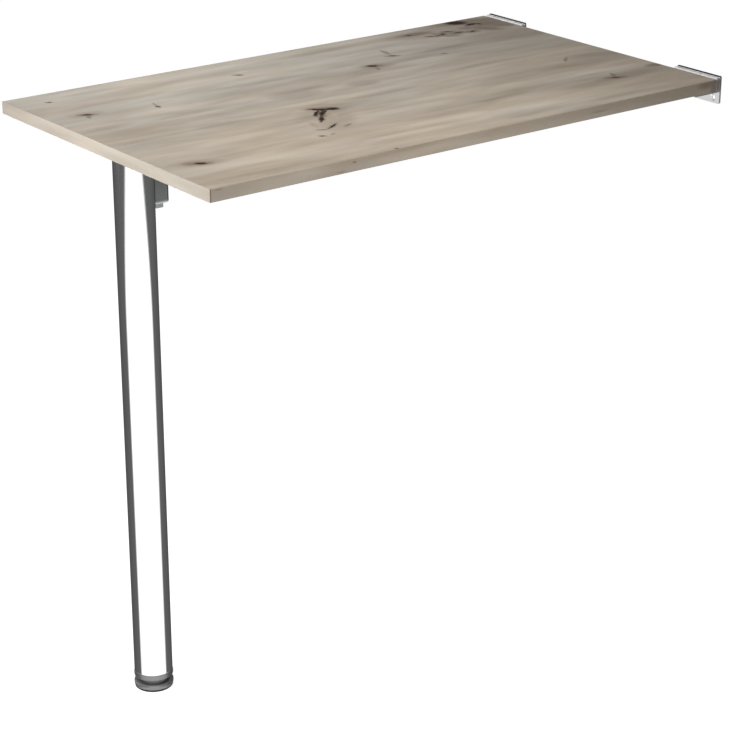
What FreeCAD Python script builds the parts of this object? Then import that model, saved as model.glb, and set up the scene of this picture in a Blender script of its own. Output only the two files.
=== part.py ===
import FreeCAD, Part
import Sketcher
import os
import re

# A folding wall table. Its wall end swings on two hinges and one tube leg stands under its free end.
# For storage the leg folds under the top, and the top folds up against the wall.
# The wall is the plane y = 0, the top reaches out along -Y, and the origin lies midway between
# the hinges on the wall, on the row of the wall screws.

SIZES = {
    # the table as a whole
    "table_height": 750,
    "screw_row_drop": 28,
    # the top
    "top_length": 800,
    "top_width": 475,
    "top_thickness": 16,
    "edge_band_thickness": 1,
    # the wall hinges
    "hinge_width": 80,
    "hinge_inset": 2.5,
    "hinge_axis_drop": 2,
    "hinge_pin_radius": 1.6,
    "pin_running_clearance": 0.04,
    "pin_head_margin": 0.8,
    "pin_head_thickness": 0.8,
    "knuckle_wall": 1.6,
    "knuckle_gap": 0.3,
    "swing_clearance": 0.3,
    "notch_clearance": 0.5,
    "top_end_room": 0.8,
    "wall_leaf_thickness": 3,
    "wall_leaf_rise": 2.5,
    "wall_leaf_foot": 7,
    "wall_leaf_corner_radius": 2,
    "wall_hole_margin": 12,
    "wall_hole_radius": 2.6,
    "wall_countersink_depth": 2.2,
    "top_leaf_thickness": 2.5,
    "top_leaf_depth": 38,
    # the wood screws that hold the hinges and the leg bracket under the top
    "screw_head_radius": 3.6,
    "screw_shank_radius": 1.75,
    "screw_cover": 6.5,
    "screw_tip_length": 2.5,
    "screw_recess_length": 3.8,
    "screw_recess_width": 0.9,
    "screw_recess_depth": 1.3,
    "leaf_screw_margin": 11,
    "leaf_screw_side_margin": 14,
    # the leg pivot
    "pivot_stand_off": 8.5,
    "pivot_bolt_radius": 4,
    "pivot_bolt_head_margin": 3,
    "pivot_bolt_head_thickness": 4,
    "pivot_bolt_end": 2,
    "pivot_nut_wall": 3.5,
    "pivot_nut_thickness": 6,
    "pivot_bush_wall": 2,
    "pivot_boss_wall": 4.95,
    "pivot_running_clearance": 0.05,
    "friction_washer_thickness": 0.8,
    "friction_washer_margin": 1.5,
    "washer_clearance": 0.1,
    "buffer_width": 10,
    "buffer_length": 12,
    "buffer_depth": 3.7,
    "buffer_rise": 29,
    # the leg bracket under the top
    "bracket_plate_thickness": 3,
    "bracket_head_margin": 1,
    "bracket_waist_margin": 0.5,
    "bracket_waist_clearance": 10,
    "bracket_tail_length": 45,
    "bracket_tail_flare": 9.5,
    "bracket_neck_radius": 12,
    "bracket_tail_radius": 7,
    "bracket_outer_half_width": 12,
    "bracket_sheet": 2.5,
    "bracket_depth": 40,
    "bracket_corner_radius": 9,
    "bracket_swing_clearance": 0.9,
    "bracket_web_clearance": 3,
    "bracket_screw_gap": 1.5,
    "bracket_side_screw_reach": 9,
    "bracket_tail_screw_margin": 10,
    "bracket_tail_screw_side_margin": 8.5,
    # the leg
    "leg_setback": 46,
    "tube_radius": 25.75,
    "tube_wall": 1.5,
    "tube_seat_clearance": 0.3,
    "tube_slot_clearance": 0.6,
    "plug_swing_clearance": 4,
    "plug_length": 56,
    "plug_wall": 4,
    "plug_crown": 8,
    "plug_clearance": 0.05,
    "lug_root_depth": 7.5,
    "lug_grip": 30,
    "lug_edge_radius": 3.5,
    "lug_toe_gap": 0.5,
    "lug_toe_setback": 8,
    "lug_toe_drop": 5,
    "lug_toe_width": 12,
    # the adjustable foot
    "insert_flange_height": 7.6,
    "insert_length": 26,
    "insert_clearance": 0.05,
    "foot_seat_clearance": 0.3,
    "foot_neck_recess": 5,
    "foot_neck_height": 7,
    "foot_disc_margin": 0.1,
    "foot_disc_thickness": 8,
    "foot_edge_radius": 3,
    "foot_pad_margin": 0.8,
    "foot_pad_thickness": 1.6,
    "stem_radius": 5,
    "stem_end": 4.6,
    "stem_bite": 3,
    "stem_running_clearance": 0.05,
    # how far a cutting shape runs past the face that it cuts
    "overrun": 1,
}

# Heights and distances that several pieces share
KNUCKLE_COUNT = 5
KNUCKLE_RADIUS = "(hinge_pin_radius + knuckle_wall)"
KNUCKLE_PITCH = f"(hinge_width / {KNUCKLE_COUNT})"
HINGE_AXIS_GAP = f"(wall_leaf_thickness + swing_clearance + {KNUCKLE_RADIUS})"
WALL_GAP = f"({HINGE_AXIS_GAP} + {KNUCKLE_RADIUS} + top_end_room)"
TOP_Z = "screw_row_drop"
UNDERSIDE_Z = f"({TOP_Z} - top_thickness)"
FLOOR_Z = f"({TOP_Z} - table_height)"
WALL_END_Y = f"(0 - {WALL_GAP})"
FREE_END_Y = f"({WALL_END_Y} - top_length)"
HINGE_X = "(top_width / 2 - hinge_inset - hinge_width / 2)"
HINGE_Y = f"(0 - {HINGE_AXIS_GAP})"
HINGE_Z = f"({TOP_Z} - hinge_axis_drop)"
TOP_LEAF_FACE_Z = f"({UNDERSIDE_Z} - top_leaf_thickness)"
BRACKET_FACE_Z = f"({UNDERSIDE_Z} - bracket_plate_thickness)"

BUSH_BORE_RADIUS = "(pivot_bolt_radius + pivot_running_clearance)"
BUSH_RADIUS = f"({BUSH_BORE_RADIUS} + pivot_bush_wall)"
BOSS_RADIUS = f"({BUSH_RADIUS} + pivot_boss_wall)"
PIVOT_REACH = "(tube_radius + pivot_stand_off)"
PIVOT_DROP = f"(bracket_plate_thickness + swing_clearance + buffer_depth + {BOSS_RADIUS})"
BACK_REACH = f"({PIVOT_REACH} + {BOSS_RADIUS})"
LEG_Y = f"({FREE_END_Y} + leg_setback)"
PIVOT_Y = f"({LEG_Y} + {PIVOT_REACH})"
PIVOT_Z = f"({UNDERSIDE_Z} - {PIVOT_DROP})"

TUBE_BORE_RADIUS = "(tube_radius - tube_wall)"
TUBE_TOP_Z = f"({BRACKET_FACE_Z} - tube_seat_clearance)"
CHEEK_INNER = "(bracket_outer_half_width - bracket_sheet)"
LUG_HALF_WIDTH = f"({CHEEK_INNER} - friction_washer_thickness - 2 * washer_clearance)"
LUG_INNER_REACH = f"({TUBE_BORE_RADIUS} - lug_root_depth)"
PLUG_DROP = "(bracket_depth + plug_swing_clearance)"
LUG_DROP = f"({PLUG_DROP} + lug_grip)"

# The front corner of the bracket stays inside the circle that the bore of the tube sweeps round the pivot
BORE_CHORD = f"sqrt({TUBE_BORE_RADIUS} ^ 2 - bracket_outer_half_width ^ 2)"
SWEPT_RADIUS = f"({PIVOT_REACH} + {BORE_CHORD} - bracket_swing_clearance)"
FRONT_REACH = f"(sqrt({SWEPT_RADIUS} ^ 2 - (bracket_depth - {PIVOT_DROP}) ^ 2) - {PIVOT_REACH})"
WEB_END_REACH = f"({LUG_INNER_REACH} - bracket_web_clearance)"

PLATE_HEAD_RADIUS = "(tube_radius + bracket_head_margin)"
PLATE_WAIST = "(bracket_outer_half_width + bracket_waist_margin)"
PLATE_TAIL = f"({PLATE_WAIST} + bracket_tail_flare)"
PLATE_WAIST_REACH = f"({BACK_REACH} + bracket_waist_clearance)"
PLATE_TAIL_REACH = f"({PLATE_WAIST_REACH} + bracket_tail_length)"

FOOT_DISC_RADIUS = "(tube_radius + foot_disc_margin)"
FOOT_DISC_Z = f"({FLOOR_Z} + foot_pad_thickness)"
FOOT_NECK_TOP_Z = f"({FOOT_DISC_Z} + foot_disc_thickness + foot_neck_height)"
INSERT_Z = f"({FOOT_NECK_TOP_Z} + foot_seat_clearance)"
INSERT_HEIGHT = "(insert_flange_height + insert_length)"
TUBE_FOOT_Z = f"({INSERT_Z} + insert_flange_height)"

# Edges count as lined up, and circles as alike, within these shares
LINED_UP_SHARE = 0.999
ALIKE_SHARE = 0.001

CUBIC_MM_PER_CM = 1000

RIGHT = FreeCAD.Vector(1, 0, 0)
BACK = FreeCAD.Vector(0, 1, 0)
UP = FreeCAD.Vector(0, 0, 1)

DOC = FreeCAD.newDocument("folding_wall_table")
NODES = []


def make_sheet():
    sheet = DOC.addObject("Spreadsheet::Sheet", "Sizes")
    for row, (alias, value) in enumerate(SIZES.items(), start=1):
        sheet.set(f"A{row}", alias)
        sheet.set(f"B{row}", str(value))
        sheet.setAlias(f"B{row}", alias)
    DOC.recompute()
    return sheet


SHEET = make_sheet()


def formula(text):
    """Point every size name in a formula at its cell."""
    return re.sub(r"[a-z_]+", lambda word: f"Sizes.{word[0]}" if word[0] in SIZES else word[0], text)


def measure(text):
    """The value that a formula has now."""
    return float(SHEET.evalExpression(formula(text)))


def bind(item, **formulas):
    for name, text in formulas.items():
        item.setExpression(name, formula(text))


def place(item, x, y, z):
    for axis, text in zip("xyz", (x, y, z)):
        item.setExpression(f"Placement.Base.{axis}", formula(text))


def turn_to(item, axis):
    item.Placement = FreeCAD.Placement(FreeCAD.Vector(), FreeCAD.Rotation(UP, axis))


def box(name, sizes, corner):
    item = DOC.addObject("Part::Box", name)
    bind(item, Length=sizes[0], Width=sizes[1], Height=sizes[2])
    place(item, *corner)
    return item


def cylinder(name, radius, height, base, axis=UP):
    item = DOC.addObject("Part::Cylinder", name)
    turn_to(item, axis)
    bind(item, Radius=radius, Height=height)
    place(item, *base)
    return item


def cone(name, base_radius, end_radius, height, base, axis=UP):
    item = DOC.addObject("Part::Cone", name)
    turn_to(item, axis)
    bind(item, Radius1=base_radius, Radius2=end_radius, Height=height)
    place(item, *base)
    return item


def join(name, items):
    item = DOC.addObject("Part::MultiFuse", name)
    item.Shapes = items
    return item


def cut(name, base, tools):
    item = DOC.addObject("Part::Cut", name)
    item.Base = base
    item.Tool = tools[0] if len(tools) == 1 else join(f"{name}_tools", tools)
    return item


def node(item, label):
    """Keep a finished sub-part under the name of its file."""
    item.Label = label
    NODES.append(item)
    return item


def new_body(name, x, y, z):
    body = DOC.addObject("PartDesign::Body", name)
    place(body, x, y, z)
    return body


def new_sketch(body, name, plane):
    sketch = body.newObject("Sketcher::SketchObject", name)
    support = next(item for item in body.Origin.OriginFeatures if item.Role == plane)
    sketch.AttachmentSupport = [(support, "")]
    sketch.MapMode = "FlatFace"
    return sketch


def pin_point(sketch, element, point, place_formulas):
    """Fix one sketch point at a place given by two formulas."""
    for kind, axis_element, text in zip(("DistanceX", "DistanceY"), (-2, -1), place_formulas):
        if text == "0":
            sketch.addConstraint(Sketcher.Constraint("PointOnObject", element, point, axis_element))
        else:
            index = sketch.addConstraint(
                Sketcher.Constraint(kind, -1, 1, element, point, measure(text)))
            sketch.setExpression(f"Constraints[{index}]", formula(text))


def polygon(body, name, plane, corners):
    """A closed outline of straight lines through corners given by formulas."""
    sketch = new_sketch(body, name, plane)
    points = [FreeCAD.Vector(measure(across), measure(along), 0) for across, along in corners]
    count = len(points)
    for index in range(count):
        sketch.addGeometry(Part.LineSegment(points[index], points[(index + 1) % count]))
    for index in range(count):
        sketch.addConstraint(Sketcher.Constraint("Coincident", index, 2, (index + 1) % count, 1))
    for index, corner in enumerate(corners):
        pin_point(sketch, index, 1, corner)
    return sketch


def disc(body, name, plane, radius, centre=("0", "0")):
    """A round outline about a centre given by two formulas."""
    sketch = new_sketch(body, name, plane)
    middle = FreeCAD.Vector(measure(centre[0]), measure(centre[1]), 0)
    sketch.addGeometry(Part.Circle(middle, UP, measure(radius)))
    pin_point(sketch, 0, 3, centre)
    index = sketch.addConstraint(Sketcher.Constraint("Radius", 0, measure(radius)))
    sketch.setExpression(f"Constraints[{index}]", formula(radius))
    return sketch


def pad(body, sketch, length, side="One side", reverse=False):
    feature = body.newObject("PartDesign::Pad", f"{sketch.Name}_pad")
    feature.Profile = sketch
    feature.SideType = side
    feature.Reversed = reverse
    bind(feature, Length=length)
    DOC.recompute()
    return feature


def pocket(body, sketch, length):
    """Cut an outline through the body, as far to each side of its plane."""
    feature = body.newObject("PartDesign::Pocket", f"{sketch.Name}_pocket")
    feature.Profile = sketch
    feature.SideType = "Symmetric"
    bind(feature, Length=length)
    DOC.recompute()
    return feature


def turned(body, sketch):
    """Turn an outline about the sketch's upright axis."""
    feature = body.newObject("PartDesign::Revolution", f"{sketch.Name}_turned")
    feature.Profile = sketch
    feature.ReferenceAxis = (sketch, ["V_Axis"])
    feature.Angle = 360
    DOC.recompute()
    return feature


def straight_edges(feature, direction, corners):
    """The edges along a direction that stand on the given corners of the outline."""
    names = []
    for across, along, height in corners:
        corner = FreeCAD.Vector(measure(across), measure(along), measure(height))
        lined_up = []
        for index, edge in enumerate(feature.Shape.Edges, start=1):
            ends = [vertex.Point for vertex in edge.Vertexes]
            if len(ends) == 2 and abs((ends[1] - ends[0]).normalize().dot(direction)) > LINED_UP_SHARE:
                lined_up.append((edge.distToShape(Part.Vertex(corner))[0], f"Edge{index}"))
        names.append(min(lined_up)[1])
    return names


def rim_edges(feature, radius):
    """The round edges of a given radius."""
    names = []
    for index, edge in enumerate(feature.Shape.Edges, start=1):
        if isinstance(edge.Curve, Part.Circle):
            if abs(edge.Curve.Radius / measure(radius) - 1) < ALIKE_SHARE:
                names.append(f"Edge{index}")
    return names


def rounded(body, feature, names, radius):
    fillet = body.newObject("PartDesign::Fillet", f"{feature.Name}_round_{len(body.Group)}")
    fillet.Base = (feature, names)
    bind(fillet, Radius=radius)
    DOC.recompute()
    return fillet


def screw_blank(name, x, y, face_z, length):
    """A countersunk wood screw driven upwards, its head flush with a face that looks down."""
    head = cone(f"{name}_head", "screw_head_radius", "screw_shank_radius",
                "screw_head_radius - screw_shank_radius", (x, y, face_z))
    shank = cylinder(f"{name}_shank", "screw_shank_radius", f"{length} - screw_tip_length", (x, y, face_z))
    tip = cone(f"{name}_tip", "screw_shank_radius", "0", "screw_tip_length",
               (x, y, f"{face_z} + {length} - screw_tip_length"))
    return join(name, [head, shank, tip])


def screw_recess(name, x, y, face_z):
    """The crossed slots in a screw's head."""
    depth = "screw_recess_depth + overrun"
    corner_z = f"{face_z} - overrun"
    half_length = "screw_recess_length / 2"
    half_width = "screw_recess_width / 2"
    along_x = box(f"{name}_slot_x", ("screw_recess_length", "screw_recess_width", depth),
                  (f"{x} - {half_length}", f"{y} - {half_width}", corner_z))
    along_y = box(f"{name}_slot_y", ("screw_recess_width", "screw_recess_length", depth),
                  (f"{x} - {half_width}", f"{y} - {half_length}", corner_z))
    return join(f"{name}_recess", [along_x, along_y])


def make_screws(label, spots, plate_thickness):
    """A group of screws through a plate under the top. Their blanks also cut the seats that they fill."""
    face_z = f"({UNDERSIDE_Z} - {plate_thickness})"
    length = f"({plate_thickness} + top_thickness - screw_cover)"
    blanks = [screw_blank(f"{label}_{index}", x, y, face_z, length) for index, (x, y) in enumerate(spots)]
    recesses = [screw_recess(f"{label}_{index}", x, y, face_z) for index, (x, y) in enumerate(spots)]
    blank_group = join(f"{label}_blanks", blanks)
    node(cut(f"{label}_cut", blank_group, recesses), label)
    return blank_group


def make_top(screw_groups):
    """The board between its four edge bands."""
    inner_length = "top_length - 2 * edge_band_thickness"
    inner_width = "top_width - 2 * edge_band_thickness"
    free_y = f"{FREE_END_Y} + edge_band_thickness"
    left_x = "0 - top_width / 2"
    right_x = "top_width / 2 - edge_band_thickness"
    slab = box("board_slab", (inner_width, inner_length, "top_thickness"),
               (f"{left_x} + edge_band_thickness", free_y, UNDERSIDE_Z))
    node(cut("board_cut", slab, screw_groups), "top_board")
    for label, y in (("edge_band_free_end", FREE_END_Y),
                     ("edge_band_wall_end", f"{WALL_END_Y} - edge_band_thickness")):
        node(box(f"{label}_strip", ("top_width", "edge_band_thickness", "top_thickness"),
                 (left_x, y, UNDERSIDE_Z)), label)
    for label, x in (("edge_band_left", left_x), ("edge_band_right", right_x)):
        node(box(f"{label}_strip", ("edge_band_thickness", inner_length, "top_thickness"),
                 (x, free_y, UNDERSIDE_Z)), label)


def knuckle(name, centre_x, order, bore):
    """One bored roll of a hinge. The rolls are counted from the left."""
    start_x = f"{centre_x} - hinge_width / 2 + {order} * {KNUCKLE_PITCH} + knuckle_gap / 2"
    length = f"{KNUCKLE_PITCH} - knuckle_gap"
    roll = cylinder(f"{name}_roll", KNUCKLE_RADIUS, length, (start_x, HINGE_Y, HINGE_Z), RIGHT)
    drill = cylinder(f"{name}_drill", bore, f"{length} + 2 * overrun",
                     (f"{start_x} - overrun", HINGE_Y, HINGE_Z), RIGHT)
    return roll, drill, start_x, length


def make_wall_leaf(side, centre_x):
    """A plate on the wall with three rolls held out in front of it."""
    name = f"wall_leaf_{side}"
    height = f"({TOP_Z} + wall_leaf_rise + wall_leaf_foot)"
    body = new_body(f"{name}_body", centre_x, "0", "0 - wall_leaf_foot")
    half = "hinge_width / 2"
    plate_outline = polygon(body, f"{name}_outline", "XZ_Plane",
                            ((f"0 - {half}", "0"), (half, "0"), (half, height), (f"0 - {half}", height)))
    plate = pad(body, plate_outline, "wall_leaf_thickness")
    corners = [(x, "0", z) for x in (f"0 - {half}", half) for z in ("0", height)]
    rounded(body, plate, straight_edges(plate, BACK, corners), "wall_leaf_corner_radius")
    pieces = [body]
    drills = []
    for order in range(0, KNUCKLE_COUNT, 2):
        roll, drill, start_x, length = knuckle(f"{name}_{order}", centre_x, order, "hinge_pin_radius")
        neck = box(f"{name}_{order}_neck",
                   (length, f"{KNUCKLE_RADIUS} + swing_clearance + wall_leaf_thickness / 2", KNUCKLE_RADIUS),
                   (start_x, HINGE_Y, f"{HINGE_Z} - {KNUCKLE_RADIUS}"))
        pieces += [roll, neck]
        drills.append(drill)
    for order, sign in enumerate(("-", "+")):
        hole_x = f"{centre_x} {sign} (hinge_width / 2 - wall_hole_margin)"
        drills.append(cylinder(f"{name}_hole_{order}", "wall_hole_radius",
                               "wall_leaf_thickness + 2 * overrun", (hole_x, "overrun", "0"), -BACK))
        drills.append(cone(f"{name}_countersink_{order}", "wall_hole_radius + wall_countersink_depth",
                           "wall_hole_radius", "wall_countersink_depth",
                           (hole_x, "0 - wall_leaf_thickness", "0"), BACK))
    node(cut(f"{name}_cut", join(f"{name}_blank", pieces), drills), name)


def make_top_leaf(side, centre_x, screw_group):
    """An angle under the top with two rolls between those of the wall leaf."""
    name = f"top_leaf_{side}"
    left_x = f"{centre_x} - hinge_width / 2"
    back_y = "(0 - wall_leaf_thickness - swing_clearance)"
    flange_y = f"({back_y} - top_leaf_thickness)"
    shoulder_z = f"({HINGE_Z} - {KNUCKLE_RADIUS} - notch_clearance)"
    web = box(f"{name}_web", ("hinge_width", "top_leaf_thickness", f"{shoulder_z} - {TOP_LEAF_FACE_Z}"),
              (left_x, flange_y, TOP_LEAF_FACE_Z))
    front_y = f"({WALL_END_Y} - top_leaf_depth)"
    tongue = box(f"{name}_tongue", ("hinge_width", f"{back_y} - {front_y}", "top_leaf_thickness"),
                 (left_x, front_y, TOP_LEAF_FACE_Z))
    pieces = [web, tongue]
    drills = []
    for order in range(1, KNUCKLE_COUNT, 2):
        roll, drill, start_x, length = knuckle(
            f"{name}_{order}", centre_x, order, "hinge_pin_radius + pin_running_clearance")
        strap = box(f"{name}_{order}_strap", (length, "top_leaf_thickness", f"{HINGE_Z} - {shoulder_z}"),
                    (start_x, flange_y, shoulder_z))
        pieces += [roll, strap]
        drills.append(drill)
    node(cut(f"{name}_cut", join(f"{name}_blank", pieces), drills + [screw_group]), name)


def make_hinge_pin(side, centre_x):
    """A pin through all the rolls of a hinge, headed at both ends."""
    name = f"hinge_pin_{side}"
    left_x = f"{centre_x} - hinge_width / 2"
    shank = cylinder(f"{name}_shank", "hinge_pin_radius", "hinge_width", (left_x, HINGE_Y, HINGE_Z), RIGHT)
    head_radius = "hinge_pin_radius + pin_head_margin"
    heads = []
    for end, start_x in (("left", f"{left_x} - pin_head_thickness"), ("right", f"{left_x} + hinge_width")):
        heads.append(cylinder(f"{name}_{end}_head", head_radius, "pin_head_thickness",
                              (start_x, HINGE_Y, HINGE_Z), RIGHT))
    node(join(f"{name}_joined", [shank] + heads), name)


def make_hinges():
    """Both wall hinges. The screws of both top leaves share one node."""
    centres = {"left": f"(0 - {HINGE_X})", "right": HINGE_X}
    near_y = f"{WALL_END_Y} - leaf_screw_margin"
    far_y = f"{WALL_END_Y} - top_leaf_depth + leaf_screw_margin"
    spread = "(hinge_width / 2 - leaf_screw_side_margin)"
    spots = []
    for centre_x in centres.values():
        spots += [(f"{centre_x} - {spread}", near_y), (f"{centre_x} + {spread}", near_y), (centre_x, far_y)]
    screw_group = make_screws("top_leaf_screws", spots, "top_leaf_thickness")
    for side, centre_x in centres.items():
        make_wall_leaf(side, centre_x)
        make_top_leaf(side, centre_x, screw_group)
        make_hinge_pin(side, centre_x)
    return screw_group


def make_bracket_plate(screw_group):
    """A flat plate with a round head above the leg, a waist at the pivot and a flared tail."""
    body = new_body("bracket_plate_body", "0", LEG_Y, UNDERSIDE_Z)
    head_outline = disc(body, "bracket_head", "XY_Plane", PLATE_HEAD_RADIUS)
    pad(body, head_outline, "bracket_plate_thickness", reverse=True)
    outline = polygon(body, "bracket_tail", "XY_Plane", (
        (f"0 - {PLATE_WAIST}", "0"), (f"0 - {PLATE_WAIST}", PLATE_WAIST_REACH),
        (f"0 - {PLATE_TAIL}", PLATE_TAIL_REACH), (PLATE_TAIL, PLATE_TAIL_REACH),
        (PLATE_WAIST, PLATE_WAIST_REACH), (PLATE_WAIST, "0")))
    plate = pad(body, outline, "bracket_plate_thickness", reverse=True)
    neck_reach = f"sqrt({PLATE_HEAD_RADIUS} ^ 2 - {PLATE_WAIST} ^ 2)"
    neck_corners = [(f"0 {sign} {PLATE_WAIST}", neck_reach, "0") for sign in "-+"]
    plate = rounded(body, plate, straight_edges(plate, UP, neck_corners), "bracket_neck_radius")
    tail_corners = [(f"0 {sign} {PLATE_TAIL}", PLATE_TAIL_REACH, "0") for sign in "-+"]
    rounded(body, plate, straight_edges(plate, UP, tail_corners), "bracket_tail_radius")
    node(cut("bracket_plate_cut", body, [screw_group]), "bracket_plate")


def make_leg_bracket():
    """Two cheeks and a front web, bent from one sheet, that stand inside the open end of the leg."""
    body = new_body("leg_bracket_body", "0", LEG_Y, UNDERSIDE_Z)
    front = f"0 - {FRONT_REACH}"
    root = "0 - bracket_plate_thickness"
    lower = "0 - bracket_depth"
    axis_height = f"0 - {PIVOT_DROP}"
    outline = polygon(body, "cheek", "YZ_Plane", (
        (front, root), (front, lower), (WEB_END_REACH, lower),
        (PIVOT_REACH, f"{axis_height} - {BOSS_RADIUS}"), (PIVOT_REACH, axis_height),
        (BACK_REACH, axis_height), (BACK_REACH, root)))
    cheek = pad(body, outline, "2 * bracket_outer_half_width", "Symmetric")
    rounded(body, cheek, straight_edges(cheek, RIGHT, [("0", front, lower)]), "bracket_corner_radius")
    boss = disc(body, "cheek_boss", "YZ_Plane", BOSS_RADIUS, (PIVOT_REACH, axis_height))
    pad(body, boss, "2 * bracket_outer_half_width", "Symmetric")
    web_face = "bracket_sheet - bracket_depth"
    hollow = polygon(body, "cheek_gap", "YZ_Plane", (
        (f"{front} - overrun", f"{root} + overrun"), (f"{front} - overrun", web_face),
        (WEB_END_REACH, web_face), (WEB_END_REACH, f"{lower} - overrun"),
        (f"{BACK_REACH} + overrun", f"{lower} - overrun"), (f"{BACK_REACH} + overrun", f"{root} + overrun")))
    pocket(body, hollow, f"2 * {CHEEK_INNER}")
    bore = cylinder("leg_bracket_bore", "pivot_bolt_radius", "2 * bracket_outer_half_width + 2 * overrun",
                    ("0 - bracket_outer_half_width - overrun", PIVOT_Y, PIVOT_Z), RIGHT)
    node(cut("leg_bracket_cut", body, [bore]), "leg_bracket")


def make_bracket_screws():
    """One screw in front of the leg bracket, two beside it and two in the tail of the plate."""
    room = "screw_head_radius + bracket_screw_gap"
    side_offset = f"(bracket_outer_half_width + {room})"
    tail_offset = f"({PLATE_TAIL} - bracket_tail_screw_side_margin)"
    spots = [("0", f"{LEG_Y} - {FRONT_REACH} - ({room})")]
    for reach, offset in (("bracket_side_screw_reach", side_offset),
                          (f"{PLATE_TAIL_REACH} - bracket_tail_screw_margin", tail_offset)):
        spots += [(f"0 {sign} {offset}", f"{LEG_Y} + {reach}") for sign in "-+"]
    return make_screws("bracket_screws", spots, "bracket_plate_thickness")


def make_pivot():
    """The bolt that the leg swings on, its nut, the bush in the lug and the washers beside the lug."""
    bolt_end = "(bracket_outer_half_width + pivot_nut_thickness + pivot_bolt_end)"
    head_radius = "pivot_bolt_radius + pivot_bolt_head_margin"
    shank = cylinder("pivot_bolt_shank", "pivot_bolt_radius", f"{bolt_end} + bracket_outer_half_width",
                     (f"0 - {bolt_end}", PIVOT_Y, PIVOT_Z), RIGHT)
    head = cylinder("pivot_bolt_head", head_radius, "pivot_bolt_head_thickness / 2",
                    ("bracket_outer_half_width", PIVOT_Y, PIVOT_Z), RIGHT)
    crown = cone("pivot_bolt_crown", head_radius, "pivot_bolt_radius",
                 "pivot_bolt_head_thickness / 2",
                 ("bracket_outer_half_width + pivot_bolt_head_thickness / 2", PIVOT_Y, PIVOT_Z), RIGHT)
    node(join("pivot_bolt_joined", [shank, head, crown]), "pivot_bolt")

    nut_x = "0 - bracket_outer_half_width - pivot_nut_thickness"
    nut = DOC.addObject("Part::Prism", "pivot_nut_hexagon")
    nut.Polygon = 6
    turn_to(nut, RIGHT)
    bind(nut, Circumradius="pivot_bolt_radius + pivot_nut_wall", Height="pivot_nut_thickness")
    place(nut, nut_x, PIVOT_Y, PIVOT_Z)
    thread = cylinder("pivot_nut_thread", "pivot_bolt_radius", "pivot_nut_thickness + 2 * overrun",
                      (f"{nut_x} - overrun", PIVOT_Y, PIVOT_Z), RIGHT)
    node(cut("pivot_nut_cut", nut, [thread]), "pivot_nut")

    sleeve = cylinder("pivot_bush_sleeve", BUSH_RADIUS, f"2 * {LUG_HALF_WIDTH}",
                      (f"0 - {LUG_HALF_WIDTH}", PIVOT_Y, PIVOT_Z), RIGHT)
    drill = cylinder("pivot_bush_drill", BUSH_BORE_RADIUS, f"2 * {LUG_HALF_WIDTH} + 2 * overrun",
                     (f"0 - {LUG_HALF_WIDTH} - overrun", PIVOT_Y, PIVOT_Z), RIGHT)
    node(cut("pivot_bush_cut", sleeve, [drill]), "pivot_bush")

    rings = []
    for side, start_x in (("left", f"0 - {LUG_HALF_WIDTH} - washer_clearance - friction_washer_thickness"),
                          ("right", f"{LUG_HALF_WIDTH} + washer_clearance")):
        ring = cylinder(f"{side}_washer_disc", f"{BOSS_RADIUS} - friction_washer_margin",
                        "friction_washer_thickness", (start_x, PIVOT_Y, PIVOT_Z), RIGHT)
        hole = cylinder(f"{side}_washer_hole", BUSH_BORE_RADIUS, "friction_washer_thickness + 2 * overrun",
                        (f"{start_x} - overrun", PIVOT_Y, PIVOT_Z), RIGHT)
        rings.append(cut(f"{side}_washer", ring, [hole]))
    node(join("friction_washers_joined", rings), "friction_washers")


def make_leg_tube():
    """The tube, slotted at its upper end for the bracket and the lug."""
    length = f"{TUBE_TOP_Z} - {TUBE_FOOT_Z}"
    outside = cylinder("leg_tube_outside", "tube_radius", length, ("0", LEG_Y, TUBE_FOOT_Z))
    inside = cylinder("leg_tube_inside", TUBE_BORE_RADIUS, f"{length} + 2 * overrun",
                      ("0", LEG_Y, f"{TUBE_FOOT_Z} - overrun"))
    slots = []
    wide = "bracket_outer_half_width + tube_slot_clearance"
    for name, half_width, drop in (("wide", wide, PLUG_DROP), ("narrow", LUG_HALF_WIDTH, LUG_DROP)):
        slots.append(box(f"leg_tube_{name}_slot",
                         (f"2 * ({half_width})", "tube_radius + overrun", f"{drop} + overrun"),
                         (f"0 - ({half_width})", LEG_Y, f"{UNDERSIDE_Z} - {drop}")))
    node(cut("leg_tube_cut", outside, [inside] + slots), "leg_tube")


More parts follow.
